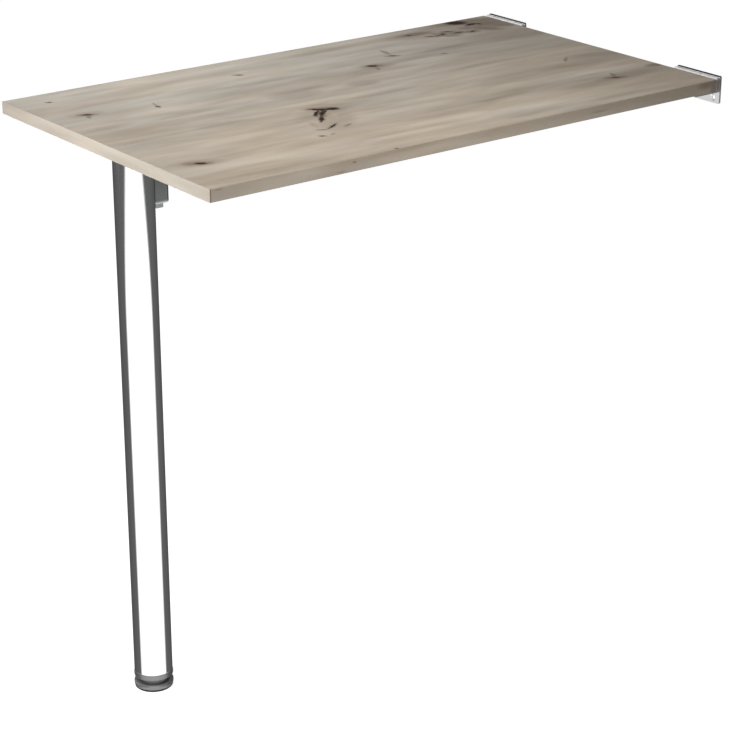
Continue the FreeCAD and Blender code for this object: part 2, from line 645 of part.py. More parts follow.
def make_leg_head():
    """A casting with a hollow plug inside the tube and a lug that reaches out to the pivot."""
    body = new_body("leg_head_lug", "0", LEG_Y, UNDERSIDE_Z)
    crest = f"{BOSS_RADIUS} - {PIVOT_DROP}"
    shoulder = "0 - bracket_depth"
    heel = f"0 - {LUG_DROP}"
    outline = polygon(body, "lug_heel", "YZ_Plane", (
        (LUG_INNER_REACH, shoulder), (BACK_REACH, shoulder), (BACK_REACH, heel), (LUG_INNER_REACH, heel)))
    lug = pad(body, outline, f"2 * {LUG_HALF_WIDTH}", "Symmetric")
    corners = [(f"0 {sign} {LUG_HALF_WIDTH}", BACK_REACH, heel) for sign in "-+"]
    heel_edges = (straight_edges(lug, RIGHT, corners[:1]) + straight_edges(lug, UP, corners)
                  + straight_edges(lug, BACK, corners))
    rounded(body, lug, heel_edges, "lug_edge_radius")
    outline = polygon(body, "lug_arm", "YZ_Plane", (
        (LUG_INNER_REACH, crest), (BACK_REACH, crest), (BACK_REACH, shoulder), (LUG_INNER_REACH, shoulder)))
    lug = pad(body, outline, f"2 * {LUG_HALF_WIDTH}", "Symmetric")
    rounded(body, lug, straight_edges(lug, RIGHT, [("0", BACK_REACH, crest)]), BOSS_RADIUS)
    toe_root = "tube_radius + lug_toe_gap"
    toe_reach = f"{BACK_REACH} - lug_toe_setback"
    outline = polygon(body, "lug_toe", "YZ_Plane", (
        (toe_root, f"{heel} + lug_edge_radius"), (toe_reach, f"{heel} + lug_edge_radius"),
        (toe_reach, f"{heel} - lug_toe_drop"), (toe_root, f"{heel} - lug_toe_drop")))
    pad(body, outline, "lug_toe_width", "Symmetric")
    plug_radius = f"({TUBE_BORE_RADIUS} - plug_clearance)"
    plug_foot_z = f"{UNDERSIDE_Z} - {PLUG_DROP} - plug_length"
    plug = cylinder("leg_head_plug", plug_radius, "plug_length", ("0", LEG_Y, plug_foot_z))
    hollow = cylinder("leg_head_hollow", f"{plug_radius} - plug_wall",
                      "plug_length - plug_crown + overrun", ("0", LEG_Y, f"{plug_foot_z} - overrun"))
    bush_seat = cylinder("leg_head_bush_seat", BUSH_RADIUS, f"2 * {LUG_HALF_WIDTH} + 2 * overrun",
                         (f"0 - {LUG_HALF_WIDTH} - overrun", PIVOT_Y, PIVOT_Z), RIGHT)
    hollow_plug = cut("leg_head_cup", plug, [hollow])
    node(cut("leg_head_cut", join("leg_head_blank", [body, hollow_plug]), [bush_seat]), "leg_head")


def make_fold_buffer():
    """A rubber block on the back of the lug that meets the bracket plate when the leg is folded."""
    node(box("fold_buffer_block", ("buffer_width", "buffer_depth", "buffer_length"),
             ("0 - buffer_width / 2", f"{PIVOT_Y} + {BOSS_RADIUS}",
              f"{UNDERSIDE_Z} - {LUG_DROP} + buffer_rise - buffer_length / 2")), "fold_buffer")


def make_foot():
    """The insert in the end of the tube, and the foot that screws out of it."""
    flange = cylinder("foot_insert_flange", "tube_radius", "insert_flange_height", ("0", LEG_Y, INSERT_Z))
    plug = cylinder("foot_insert_plug", f"{TUBE_BORE_RADIUS} - insert_clearance", INSERT_HEIGHT,
                    ("0", LEG_Y, INSERT_Z))
    thread = cylinder("foot_insert_thread", "stem_radius + stem_running_clearance",
                      f"{INSERT_HEIGHT} + 2 * overrun", ("0", LEG_Y, f"{INSERT_Z} - overrun"))
    node(cut("foot_insert_cut", join("foot_insert_blank", [flange, plug]), [thread]), "foot_insert")

    seat_depth = "(foot_neck_height + stem_bite)"
    stem_z = f"{FOOT_NECK_TOP_Z} - {seat_depth}"
    stem = cylinder("foot_stem_rod", "stem_radius",
                    f"{seat_depth} + foot_seat_clearance + {INSERT_HEIGHT} + stem_end", ("0", LEG_Y, stem_z))
    node(stem, "foot_stem")

    body = new_body("foot_disc_body", "0", LEG_Y, FOOT_DISC_Z)
    neck_radius = "tube_radius - foot_neck_recess"
    crown = "foot_disc_thickness + foot_neck_height"
    outline = polygon(body, "foot_profile", "XZ_Plane", (
        ("0", "0"), (FOOT_DISC_RADIUS, "0"), (FOOT_DISC_RADIUS, "foot_disc_thickness"),
        (neck_radius, "foot_disc_thickness"), (neck_radius, crown), ("0", crown)))
    shape = turned(body, outline)
    rounded(body, shape, rim_edges(shape, FOOT_DISC_RADIUS), "foot_edge_radius")
    seat = cylinder("foot_disc_seat", "stem_radius", f"{seat_depth} + overrun", ("0", LEG_Y, stem_z))
    node(cut("foot_disc_cut", body, [seat]), "foot_disc")

    node(cylinder("foot_pad_disc", f"{FOOT_DISC_RADIUS} - foot_pad_margin", "foot_pad_thickness",
                  ("0", LEG_Y, FLOOR_Z)), "foot_pad")


def check_document():
    for item in DOC.Objects:
        if "Invalid" in item.State or "Error" in item.State:
            raise RuntimeError(f"{item.Label} failed: {item.State}")
    for item in NODES:
        if item.Shape.isNull() or not item.Shape.isValid() or not item.Shape.Solids:
            raise RuntimeError(f"{item.Label} has no sound solid")


def write_parts():
    os.makedirs("parts", exist_ok=True)
    for item in NODES:
        item.Shape.exportStep(f"parts/{item.Label}.step")
        print(f"{item.Label}: {len(item.Shape.Solids)} solids, {item.Shape.Volume / CUBIC_MM_PER_CM:.2f} cm3")


leaf_screw_group = make_hinges()
bracket_screw_group = make_bracket_screws()
make_top([leaf_screw_group, bracket_screw_group])
make_bracket_plate(bracket_screw_group)
make_leg_bracket()
make_pivot()
make_leg_tube()
make_leg_head()
make_fold_buffer()
make_foot()
DOC.recompute()
check_document()
write_parts()
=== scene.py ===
# %% [markdown]
# # A folding wall table
# The table hangs on two wall hinges and stands on one chrome leg. The construction model gives every
# piece its shape and place, in metres: the wall is the plane y = 0, the top reaches out along -Y and
# +Z is up. This lesson dresses that model. It starts by loading it. Nothing that is added later may
# make the table larger.

import math

import bmesh
import bpy
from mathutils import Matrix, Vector


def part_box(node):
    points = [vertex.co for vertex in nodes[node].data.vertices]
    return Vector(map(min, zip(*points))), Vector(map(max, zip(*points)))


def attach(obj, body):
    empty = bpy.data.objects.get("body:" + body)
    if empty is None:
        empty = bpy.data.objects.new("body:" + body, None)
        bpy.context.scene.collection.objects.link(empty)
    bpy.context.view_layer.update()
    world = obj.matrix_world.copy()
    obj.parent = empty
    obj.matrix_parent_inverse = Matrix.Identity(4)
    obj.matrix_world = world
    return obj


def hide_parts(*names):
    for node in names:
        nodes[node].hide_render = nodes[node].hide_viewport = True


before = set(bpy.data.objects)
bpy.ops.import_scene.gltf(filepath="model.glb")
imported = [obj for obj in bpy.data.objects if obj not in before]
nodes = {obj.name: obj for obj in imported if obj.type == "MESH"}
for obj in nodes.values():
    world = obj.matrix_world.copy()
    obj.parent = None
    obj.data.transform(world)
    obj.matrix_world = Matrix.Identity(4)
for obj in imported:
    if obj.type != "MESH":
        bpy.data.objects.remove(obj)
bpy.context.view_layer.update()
scene = bpy.context.scene
MM = 0.001
print("pieces from the construction model:", len(nodes))

# %% [markdown]
# ## The camera
# The table is seen from its right front corner, a little from above. A long lens keeps the far corner
# nearly as large as the near one. The place and the lens were worked out from the four corners of the
# top and the outline of the leg, so the picture needs no shift.

# %% Place the camera
CAMERA_PLACE = Vector((2.21565, -2.10248, 0.75790))
CAMERA_AZIMUTH = math.radians(52.58)
CAMERA_HEIGHT_ANGLE = math.radians(21.819)
LENS_MM = 108.31
SENSOR_MM = 36.0


def direction(azimuth, height_angle):
    """The direction from the table to an onlooker. Azimuth 0 stands in front of the free end."""
    return Vector((math.sin(azimuth) * math.cos(height_angle),
                   -math.cos(azimuth) * math.cos(height_angle),
                   math.sin(height_angle)))


camera_data = bpy.data.cameras.new("table_camera")
camera_data.lens = LENS_MM
camera_data.sensor_width = SENSOR_MM
camera = bpy.data.objects.new("table_camera", camera_data)
scene.collection.objects.link(camera)
camera.location = CAMERA_PLACE
camera.rotation_mode = "QUATERNION"
camera.rotation_quaternion = (-direction(CAMERA_AZIMUTH, CAMERA_HEIGHT_ANGLE)).to_track_quat("-Z", "Y")
scene.camera = camera
scene.view_settings.view_transform = "Standard"
print("camera stands", round(camera.location.length, 2), "m from the wall screws")

# %% [markdown]
# ## Writing node recipes
# Every finish is a recipe of shader nodes. Wiring them one by one takes many lines, so this small
# helper writes a step in one line: a value that comes from another step is linked, and a plain number
# is typed into the socket.

# %% A helper for recipes


class Recipe:
    """A node tree that is written down step by step."""

    def __init__(self, tree):
        self.tree = tree

    def add(self, kind, **settings):
        step = self.tree.nodes.new(kind)
        for name, value in settings.items():
            setattr(step, name, value)
        return step

    def feed(self, socket, value):
        if isinstance(value, bpy.types.NodeSocket):
            self.tree.links.new(value, socket)
        else:
            socket.default_value = value

    def math(self, operation, first, second=0.0, clamp=False):
        step = self.add("ShaderNodeMath", operation=operation, use_clamp=clamp)
        self.feed(step.inputs[0], first)
        self.feed(step.inputs[1], second)
        return step.outputs[0]

    def vector(self, operation, first, second=(0.0, 0.0, 0.0)):
        step = self.add("ShaderNodeVectorMath", operation=operation)
        self.feed(step.inputs[0], first)
        self.feed(step.inputs[1], second)
        return step.outputs["Value"] if operation in ("DOT_PRODUCT", "LENGTH") else step.outputs["Vector"]

    def split(self, vector):
        step = self.add("ShaderNodeSeparateXYZ")
        self.feed(step.inputs[0], vector)
        return step.outputs

    def combine(self, x, y, z=0.0):
        step = self.add("ShaderNodeCombineXYZ")
        for socket, value in zip(step.inputs, (x, y, z)):
            self.feed(socket, value)
        return step.outputs[0]

    def noise(self, vector, scale=1.0, detail=2.0, roughness=0.5):
        step = self.add("ShaderNodeTexNoise")
        self.feed(step.inputs["Vector"], vector)
        step.inputs["Scale"].default_value = scale
        step.inputs["Detail"].default_value = detail
        step.inputs["Roughness"].default_value = roughness
        return step.outputs["Fac"]

    def remap(self, value, low, high, to_low=0.0, to_high=1.0):
        """Carry one range to another on a smooth slope, and hold the ends."""
        step = self.add("ShaderNodeMapRange", interpolation_type="SMOOTHSTEP", clamp=False)
        for socket, item in zip(step.inputs, (value, low, high, to_low, to_high)):
            self.feed(socket, item)
        return step.outputs[0]

    def blend(self, share, first, second):
        """Mix two colours."""
        step = self.add("ShaderNodeMix", data_type="RGBA")
        self.feed(step.inputs["Factor"], share)
        self.feed(step.inputs[6], first)
        self.feed(step.inputs[7], second)
        return step.outputs[2]

    def blend_numbers(self, share, first, second):
        """Mix two numbers."""
        step = self.add("ShaderNodeMix")
        for socket, item in zip(step.inputs[:1] + step.inputs[2:4], (share, first, second)):
            self.feed(socket, item)
        return step.outputs[0]

    def call(self, tree, inputs):
        """One copy of a node group."""
        step = self.add("ShaderNodeGroup", node_tree=tree)
        for name, value in inputs.items():
            self.feed(step.inputs[name], value)
        return step.outputs[0]

    def bump(self, height, strength, distance):
        step = self.add("ShaderNodeBump")
        step.inputs["Strength"].default_value = strength
        step.inputs["Distance"].default_value = distance
        self.feed(step.inputs["Height"], height)
        return step.outputs["Normal"]


print("the helper writes", sum(not name.startswith("_") for name in vars(Recipe)), "kinds of step")

# %% [markdown]
# ## Starting a finish
# A finish always starts alike: a new material with one shader, and a recipe that feeds it. Patterns could
# be placed by the view or by an unwrapped sheet. Here they are placed by the piece's own coordinates, in
# metres, so they keep their real size and stay on the piece when it moves.

# %% Start a finish


def colour(red, green, blue):
    """A colour as shader sockets take it."""
    return (red, green, blue, 1.0)


def new_finish(name):
    """A material with one shader, and the recipe that feeds it."""
    material = bpy.data.materials.new(name)
    material.use_nodes = True
    recipe = Recipe(material.node_tree)
    return material, recipe, material.node_tree.nodes["Principled BSDF"]


def part_point(recipe):
    """The place on the table, in metres. It moves with the piece."""
    return recipe.add("ShaderNodeTexCoord").outputs["Object"]


print("helpers for finishes:", [helper.__name__ for helper in (colour, new_finish, part_point)])

# %% [markdown]
# ## The floor
# A pale floor carries the foot and takes its soft shadow. A white floor could be had with more light,
# but that would bleach the table too. So the floor is a pale grey with a glow that only the camera sees:
# it reads as white, and the table is lit no more than before. Mirror rays pass through it, because the
# chrome gets surroundings of its own further down.

# %% Lay the floor
FLOOR_HALF_WIDTH = 30.0
FLOOR_COLOUR = colour(0.80, 0.80, 0.80)
FLOOR_GLOW = 0.73

floor_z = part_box("foot_pad")[0].z
floor_mesh = bpy.data.meshes.new("floor")
floor_corners = [(x * FLOOR_HALF_WIDTH, y * FLOOR_HALF_WIDTH, floor_z)
                 for x, y in ((-1, -1), (1, -1), (1, 1), (-1, 1))]
floor_mesh.from_pydata(floor_corners, [], [(0, 1, 2, 3)])
floor = bpy.data.objects.new("floor", floor_mesh)
scene.collection.objects.link(floor)
floor.visible_glossy = False

floor_finish = bpy.data.materials.new("pale_floor")
floor_finish.use_nodes = True
floor_recipe = Recipe(floor_finish.node_tree)
floor_finish.node_tree.nodes.remove(floor_finish.node_tree.nodes["Principled BSDF"])
floor_diffuse = floor_recipe.add("ShaderNodeBsdfDiffuse")
floor_diffuse.inputs["Color"].default_value = FLOOR_COLOUR
floor_light_path = floor_recipe.add("ShaderNodeLightPath")
floor_glow = floor_recipe.add("ShaderNodeEmission")
floor_recipe.feed(floor_glow.inputs["Strength"],
                  floor_recipe.math("MULTIPLY", floor_light_path.outputs["Is Camera Ray"], FLOOR_GLOW))
floor_sum = floor_recipe.add("ShaderNodeAddShader")
floor_recipe.feed(floor_sum.inputs[0], floor_diffuse.outputs[0])
floor_recipe.feed(floor_sum.inputs[1], floor_glow.outputs[0])
floor_recipe.feed(floor_finish.node_tree.nodes["Material Output"].inputs["Surface"], floor_sum.outputs[0])
floor_mesh.materials.append(floor_finish)
print("floor lies at", round(floor_z, 4), "m")

# %% [markdown]
# ## The lamps
# A distant lamp would light the top evenly, but here it fades towards the wall. So the lamps are soft and
# near: one stands low in front of the free end and makes the end face the brightest, and two weaker ones
# hang beside the long edges and light the top. None of them is seen in the metal.

# %% Hang the lamps
LAMP_AIM = Vector((0.0, -0.45, 0.03))
LAMP_SIZE = 0.5
LAMPS = (
    ("front_lamp", (0.11, -1.53, 0.25), 7.8),
    ("left_lamp", (-0.44, -0.55, 0.35), 1.7),
    ("right_lamp", (0.35, -0.52, 0.27), 0.9),
)


def hang_lamp(name, place, watts):
    """A soft square lamp that points at the top and is not seen itself."""
    lamp_data = bpy.data.lights.new(name, "AREA")
    lamp_data.shape = "SQUARE"
    lamp_data.size = LAMP_SIZE
    lamp_data.energy = watts
    lamp = bpy.data.objects.new(name, lamp_data)
    lamp.location = place
    lamp.rotation_mode = "QUATERNION"
    lamp.rotation_quaternion = (LAMP_AIM - place).to_track_quat("-Z", "Y")
    lamp.visible_camera = False
    lamp.visible_glossy = False
    scene.collection.objects.link(lamp)
    print(name, "hangs", round((LAMP_AIM - place).length, 2), "m from the middle of the top")


for lamp_name, lamp_place, lamp_watts in LAMPS:
    hang_lamp(lamp_name, Vector(lamp_place), lamp_watts)

# %% [markdown]
# ## What the chrome sees
# Polished chrome has no look of its own: it shows the room. A photographer puts a wide white sheet in
# front of a chrome tube and leaves the sides dark, which draws the bright middle and the dark borders.
# Such a sheet could be built as a plane, but the tube would show its corners. Here the world itself
# carries it: the sheet is a range of directions that grows wider towards the ground, so the dark
# borders of the tube get thinner on the way down. A low sheet on the left whitens the hinge plates, and
# a sheet behind and a pale ceiling give the other sides something to mirror.

# %% Hang the sheets
SHEET_STRENGTH = 1.3
SHEET_TURN = math.radians(7.7)
SHEET_DIPS = (0.25, 0.352)
SHEET_HALF_WIDTHS = (math.radians(34.0), math.radians(77.0))
SHEET_SOFTNESS = math.radians(9.0)
GROUND_DIPS = (0.55, 0.75)
GROUND_EXTRA_WIDTH = math.radians(112.0)
SIDE_TURNS = (math.radians(80.0), math.radians(180.0))
SIDE_STRENGTHS = (0.125, 0.065)
LEFT_SHEET_AXIS = (math.radians(-50.0), math.radians(-8.0))
LEFT_SHEET_EDGE_COSINES = (0.82, 0.90)
LEFT_SHEET_DIPS = (0.279, 0.266)
LEFT_SHEET_STRENGTH = 0.95
BACK_SHEET_DIP = math.radians(-22.0)
BACK_SHEET_EDGE_COSINES = (0.90, 0.94)
CEILING_STRENGTH = 0.8
CEILING_EDGE_HEIGHTS = (0.45, 0.75)

world = bpy.data.worlds.new("studio")
scene.world = world
world.use_nodes = True
sky = Recipe(world.node_tree)
sky_view = sky.add("ShaderNodeTexCoord").outputs["Generated"]
sky_height = sky.split(sky_view)[2]
front_axis = direction(CAMERA_AZIMUTH + SHEET_TURN, 0.0)
aside_axis = Vector((-front_axis.y, front_axis.x, 0.0))
turn = sky.math("ABSOLUTE", sky.math("ARCTAN2", sky.vector("DOT_PRODUCT", sky_view, aside_axis),
                                     sky.vector("DOT_PRODUCT", sky_view, front_axis)))
dip = sky.math("MULTIPLY", sky_height, -1.0)
half_width = sky.math("ADD", sky.remap(dip, *SHEET_DIPS, *SHEET_HALF_WIDTHS),
                      sky.remap(dip, *GROUND_DIPS, 0.0, GROUND_EXTRA_WIDTH))
front_sheet = sky.remap(sky.math("SUBTRACT", turn, half_width), SHEET_SOFTNESS, -SHEET_SOFTNESS)
back_axis = direction(CAMERA_AZIMUTH + SHEET_TURN + math.pi, BACK_SHEET_DIP)
back_sheet = sky.remap(sky.vector("DOT_PRODUCT", sky_view, back_axis), *BACK_SHEET_EDGE_COSINES)
left_sheet = sky.math("MULTIPLY", sky.remap(dip, *LEFT_SHEET_DIPS), sky.remap(
    sky.vector("DOT_PRODUCT", sky_view, direction(*LEFT_SHEET_AXIS)), *LEFT_SHEET_EDGE_COSINES,
    0.0, LEFT_SHEET_STRENGTH))
sheets = sky.math("MAXIMUM", front_sheet, back_sheet)
mirrored = sky.remap(sheets, 0.0, 1.0, sky.remap(turn, *SIDE_TURNS, *SIDE_STRENGTHS), SHEET_STRENGTH)
mirrored = sky.math("MAXIMUM", mirrored, sky.math(
    "MAXIMUM", left_sheet, sky.remap(sky_height, *CEILING_EDGE_HEIGHTS, 0.0, CEILING_STRENGTH)))
print("white sheet points to", [round(v, 2) for v in front_axis])

# %% [markdown]
# ## Who sees what
# Only mirror rays see the sheets. The camera sees plain white, and all other light comes evenly from
# every side. Three worlds can't be used at once, but the light path node tells the rays apart, so one
# world does all three jobs.

# %% Share the surroundings out
DOME_STRENGTH = 0.35

sky_path = sky.add("ShaderNodeLightPath").outputs
for_mirrors = sky.math("MULTIPLY", sky.math("SUBTRACT", mirrored, DOME_STRENGTH), sky_path["Is Glossy Ray"])
for_camera = sky.math("MULTIPLY", sky_path["Is Camera Ray"], 1.0 - DOME_STRENGTH)
strength = sky.math("ADD", sky.math("ADD", for_mirrors, for_camera), DOME_STRENGTH)
background = world.node_tree.nodes["Background"]
background.inputs["Color"].default_value = colour(1.0, 1.0, 1.0)
sky.feed(background.inputs["Strength"], strength)
print("surroundings have", len(world.node_tree.nodes), "nodes")

# %% [markdown]
# ## The oak decor
# The board carries a printed oak decor with long grain, pores, knots and cracks. A wood texture node
# alone gives regular stripes. Real boards have a few features that one remembers, so this recipe has
# two layers: noise stretched along the board for the grain, and listed strokes for knots, cracks
# and long streaks. A stroke is written in millimetres: two ends, each as (from the free end, across the
# top), and half its width. A knot's eye is its place, half its width and half its length.

# %% Strokes on the top
FREE_END_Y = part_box("edge_band_free_end")[0].y
UNDERSIDE_SHIFT = 1.0

TOP_CRACKS = (
    (286, 29, 293, 35, 3.4), (291, 36, 304, 45, 6.4), (303, 44, 310, 46, 3.8), (309, 45, 315, 48, 8.0),
    (294, 40, 271, 64, 3.7), (299, 43, 278, 69, 4.0), (281, 66, 262, 89, 3.5), (300, 47, 293, 56, 2.6),
    (276, 104, 252, 118, 2.6), (249, 120, 241, 115, 1.2), (227, 138, 230, 140, 2.0),
    (44, 144, 52, 149, 4.6), (47, -118, 58, -113, 3.6), (44, -197, 46, -196, 1.7),
    (144, -98, 143, -93, 1.5), (481, -99, 488, -94, 5.4), (538, -126, 544, -123, 2.4),
    (729, -228, 742, -222, 14.5), (742, -205, 755, -206, 6.5), (755, -205, 762, -197, 2.8),
    (661, -179, 680, -180, 2.4), (686, -192, 697, -188, 2.0), (679, -187, 677, -180, 2.0),
    (647, -184, 661, -179, 1.6), (694, -177, 703, -176, 3.4), (719, -170, 724, -171, 2.8),
    (626, -206, 638, -205, 2.6), (698, 145, 706, 149, 2.8), (264, 234, 267, 236, 2.4),
    (312, -167, 316, -164, 1.8),
)
TOP_SMUDGES = (
    (284, 29, 317, 48, 13.0), (299, 42, 264, 87, 8.0), (278, 103, 250, 119, 5.0),
    (236, 111, 250, 121, 2.6), (225, 136, 232, 142, 4.0), (240, 140, 246, 139, 3.0),
    (274, 122, 289, 115, 3.6), (33, 138, 59, 152, 10.0), (43, -121, 62, -111, 7.5),
    (53, -112, 45, -98, 4.0), (42, -198, 48, -195, 4.0), (148, -116, 144, -98, 2.2),
    (145, -100, 142, -90, 4.0), (474, -99, 497, -93, 9.5), (483, -86, 480, -76, 4.0),
    (532, -128, 550, -122, 7.0), (543, -132, 547, -160, 4.5), (602, -93, 609, -91, 4.6),
    (618, -207, 672, -203, 13.0), (645, -185, 663, -179, 6.0), (659, -179, 684, -180, 9.0),
    (680, -187, 677, -178, 8.0), (684, -192, 698, -188, 9.0), (688, -177, 707, -176, 13.0),
    (714, -170, 729, -171, 11.0), (668, -174, 692, -161, 8.0), (664, -192, 674, -190, 5.0),
    (718, -194, 736, -187, 8.0), (700, -230, 808, -212, 22.0), (744, -206, 808, -182, 24.0),
    (764, -186, 800, -170, 16.0), (740, -188, 760, -162, 17.0), (733, -198, 746, -206, 7.0),
    (760, -199, 767, -182, 6.0), (688, 142, 717, 152, 8.0), (707, 140, 713, 127, 5.0),
    (726, 24, 705, 45, 3.4), (782, 128, 800, 130, 10.0), (309, -168, 319, -162, 5.5),
)
TOP_TINTS = (
    (292, -37, 338, -34, 26.0), (405, -34, 433, -30, 18.0), (736, 44, 806, 52, 36.0),
    (22, 134, 70, 152, 19.0), (258, 66, 326, 40, 30.0), (303, 62, 290, 96, 9.0), (256, 61, 277, 45, 8.0),
    (299, 20, 327, 29, 8.0), (253, 79, 245, 107, 6.0), (36, -120, 70, -113, 17.0),
    (470, -98, 502, -93, 20.0), (604, -204, 690, -190, 30.0), (680, -218, 804, -196, 44.0),
    (690, -184, 806, -168, 34.0), (676, 146, 796, 138, 18.0), (700, -132, 812, -124, 42.0),
    (304, 70, 262, 116, 32.0),
)
TOP_STREAKS = (
    (0, 22, 120, 23, 11.0), (110, 24, 210, 22, 7.0), (60, 136, 215, 134, 7.0), (96, -43, 220, -41, 6.0),
    (380, 131, 470, 133, 6.0), (460, 133, 575, 132, 8.0), (590, 131, 700, 131, 8.0),
    (540, 66, 760, 66, 32.0), (0, 220, 130, 222, 13.0), (530, -120, 760, -111, 10.0),
    (545, -15, 680, -13, 9.0), (215, -120, 430, -112, 10.0), (60, -209, 190, -206, 9.0),
    (360, -206, 560, -202, 11.0), (0, -48, 90, -50, 8.0), (270, -58, 380, -54, 12.0),
    (250, 180, 400, 184, 8.0), (420, 214, 700, 218, 11.0), (130, 70, 260, 74, 7.0),
    (330, 22, 470, 26, 9.0),
)
TOP_PALES = (
    (302, 62, 292, 80, 6.0), (278, 58, 266, 76, 4.0), (150, -162, 340, -158, 20.0),
    (230, 4, 420, 8, 10.0), (300, 166, 470, 170, 12.0), (490, 168, 610, 172, 42.0),
    (320, -178, 334, -174, 6.0), (500, -80, 620, -76, 15.0), (640, 106, 790, 110, 9.0),
    (60, 88, 200, 84, 13.0), (20, 176, 170, 174, 13.0), (60, -76, 220, -72, 12.0),
    (430, -60, 560, -56, 10.0), (330, 100, 460, 104, 12.0),
)
KNOT_EYES = (
    (296, 42, 34, 90), (262, 112, 18, 60), (48, 146, 24, 62), (55, -116, 16, 44), (45, -199, 12, 30),
    (485, -96, 18, 60), (541, -125, 16, 50), (690, -190, 40, 110), (745, -216, 34, 90),
    (703, 147, 18, 60), (316, -36, 26, 80), (314, -166, 12, 36),
)
top_groups = (TOP_CRACKS, TOP_SMUDGES, TOP_TINTS, TOP_STREAKS, TOP_PALES)
print("strokes on the top:", sum(len(group) for group in top_groups))

# %% [markdown]
# ## The other face
# The underside has a print of its own, with fewer knots. It could have a second material, but the board is
# one piece. So one recipe serves both faces: in the decor the underside lies one metre to the side of the
# top, and its strokes are put there.

# %% Strokes on the underside
UNDER_CRACKS = (
    (44, -170, 48, -168, 4.0), (44, 82, 49, 85, 3.6), (33, 172, 40, 173, 2.6), (498, 58, 504, 61, 4.0),
    (262, -131, 270, -128, 2.2), (690, 184, 745, 188, 4.5), (728, 176, 752, 194, 4.0),
    (640, 178, 690, 174, 2.2), (688, -121, 692, -120, 2.2), (540, 64, 566, 58, 2.0),
)
UNDER_SMUDGES = (
    (36, -171, 62, -168, 10.0), (38, 82, 58, 85, 9.0), (28, 172, 46, 173, 7.0), (488, 58, 520, 61, 10.0),
    (240, -133, 290, -127, 12.0), (620, 176, 770, 188, 24.0), (530, 64, 580, 57, 11.0),
    (300, -20, 340, -16, 16.0), (720, -130, 800, -122, 14.0),
)
UNDER_STREAKS = (
    (0, -150, 360, -146, 14.0), (300, -60, 800, -52, 12.0), (0, 20, 260, 24, 12.0),
    (180, 120, 620, 112, 16.0), (420, -190, 800, -182, 14.0), (0, 210, 300, 206, 10.0),
)
UNDER_PALES = (
    (120, 60, 520, 66, 18.0), (40, -100, 420, -96, 16.0), (560, 120, 800, 128, 14.0),
    (500, -120, 780, -116, 14.0),
)
UNDER_TINTS = (
    (24, -171, 76, -168, 20.0), (480, 58, 528, 61, 20.0), (610, 172, 790, 190, 40.0),
    (286, -20, 350, -15, 26.0),
)
UNDER_EYES = ((46, -169, 22, 60), (46, 84, 20, 60), (36, 172, 16, 44), (501, 60, 22, 66), (720, 184, 44, 130),
              (266, -130, 20, 70), (552, 61, 22, 70))


def on_board(from_end, across, shift=0.0):
    """A place on the board in metres. The underside is a second stretch of decor, shifted sideways."""
    return Vector((across * MM + shift, FREE_END_Y + from_end * MM, 0.0))


def both_faces(top_marks, under_marks):
    """The marks of both faces, with the shift that belongs to each."""
    return [(mark, 0.0) for mark in top_marks] + [(mark, UNDERSIDE_SHIFT) for mark in under_marks]


under_groups = (UNDER_CRACKS, UNDER_SMUDGES, UNDER_TINTS, UNDER_STREAKS, UNDER_PALES)
print("strokes on the underside:", sum(len(group) for group in under_groups))

# %% [markdown]
# ## How strokes become a mask
# A stroke is a long thin ellipse with soft borders. Its two axes are written as vectors that are divided
# by the half length and the half width: two dot products then say how far out a point lies, and 1 is the
# border. A node group holds these steps, so that each stroke is one copy of it. A second group bends the
# grain round a knot: it leans the grain aside, most in the middle and not at all at the border.

# %% Node groups for strokes and knots
KNOT_LEAN = 0.62


def new_tool(name, inputs, output):
    """A node group with named inputs and one output: the recipe, its inputs and where the result goes."""
    tree = bpy.data.node_groups.new(name, "ShaderNodeTree")
    for socket_name, kind in inputs:
        tree.interface.new_socket(name=socket_name, in_out="INPUT", socket_type=kind)
    tree.interface.new_socket(name=output, in_out="OUTPUT", socket_type="NodeSocketFloat")
    recipe = Recipe(tree)
    return recipe, recipe.add("NodeGroupInput").outputs, recipe.add("NodeGroupOutput").inputs[0]


VECTOR, NUMBER = "NodeSocketVector", "NodeSocketFloat"
stroke_tool, given, result = new_tool("decor_stroke", (
    ("Point", VECTOR), ("Centre", VECTOR), ("Length axis", VECTOR), ("Width axis", VECTOR),
    ("Core", NUMBER), ("So far", NUMBER)), "Mask")
from_centre = stroke_tool.vector("SUBTRACT", given["Point"], given["Centre"])
run_out = stroke_tool.vector("DOT_PRODUCT", from_centre, given["Length axis"])
side_out = stroke_tool.vector("DOT_PRODUCT", from_centre, given["Width axis"])
far_out = stroke_tool.math("ADD", stroke_tool.math("MULTIPLY", run_out, run_out),
                           stroke_tool.math("MULTIPLY", side_out, side_out))
stroke_tool.feed(result, stroke_tool.math("MAXIMUM", stroke_tool.remap(far_out, 1.0, given["Core"]),
                                          given["So far"]))

knot_tool, given, result = new_tool("grain_round_knot", (
    ("Point", VECTOR), ("Across", NUMBER), ("Centre", VECTOR), ("Stretch", VECTOR), ("Middle", NUMBER),
    ("So far", NUMBER)), "Lean")
from_centre = knot_tool.vector("SUBTRACT", given["Point"], given["Centre"])
far_out = knot_tool.vector("LENGTH", knot_tool.vector("MULTIPLY", from_centre, given["Stretch"]))
lean = knot_tool.math("MULTIPLY", knot_tool.math("SUBTRACT", given["Across"], given["Middle"]),
                      knot_tool.remap(far_out, 1.0, 0.0, 0.0, KNOT_LEAN))
knot_tool.feed(result, knot_tool.math("ADD", lean, given["So far"]))
print("stroke group has", len(stroke_tool.tree.nodes), "nodes")

# %% [markdown]
# ## Chains of strokes
# Many strokes make one mask. They could be added up, but strokes that cross would then grow too dark. Here
# each copy of the group gets the mask so far and hands on the stronger of the two, so the strokes form a
# chain. The leans of the knots do add up, because the grain flows round all of them.

# %% Masks from strokes


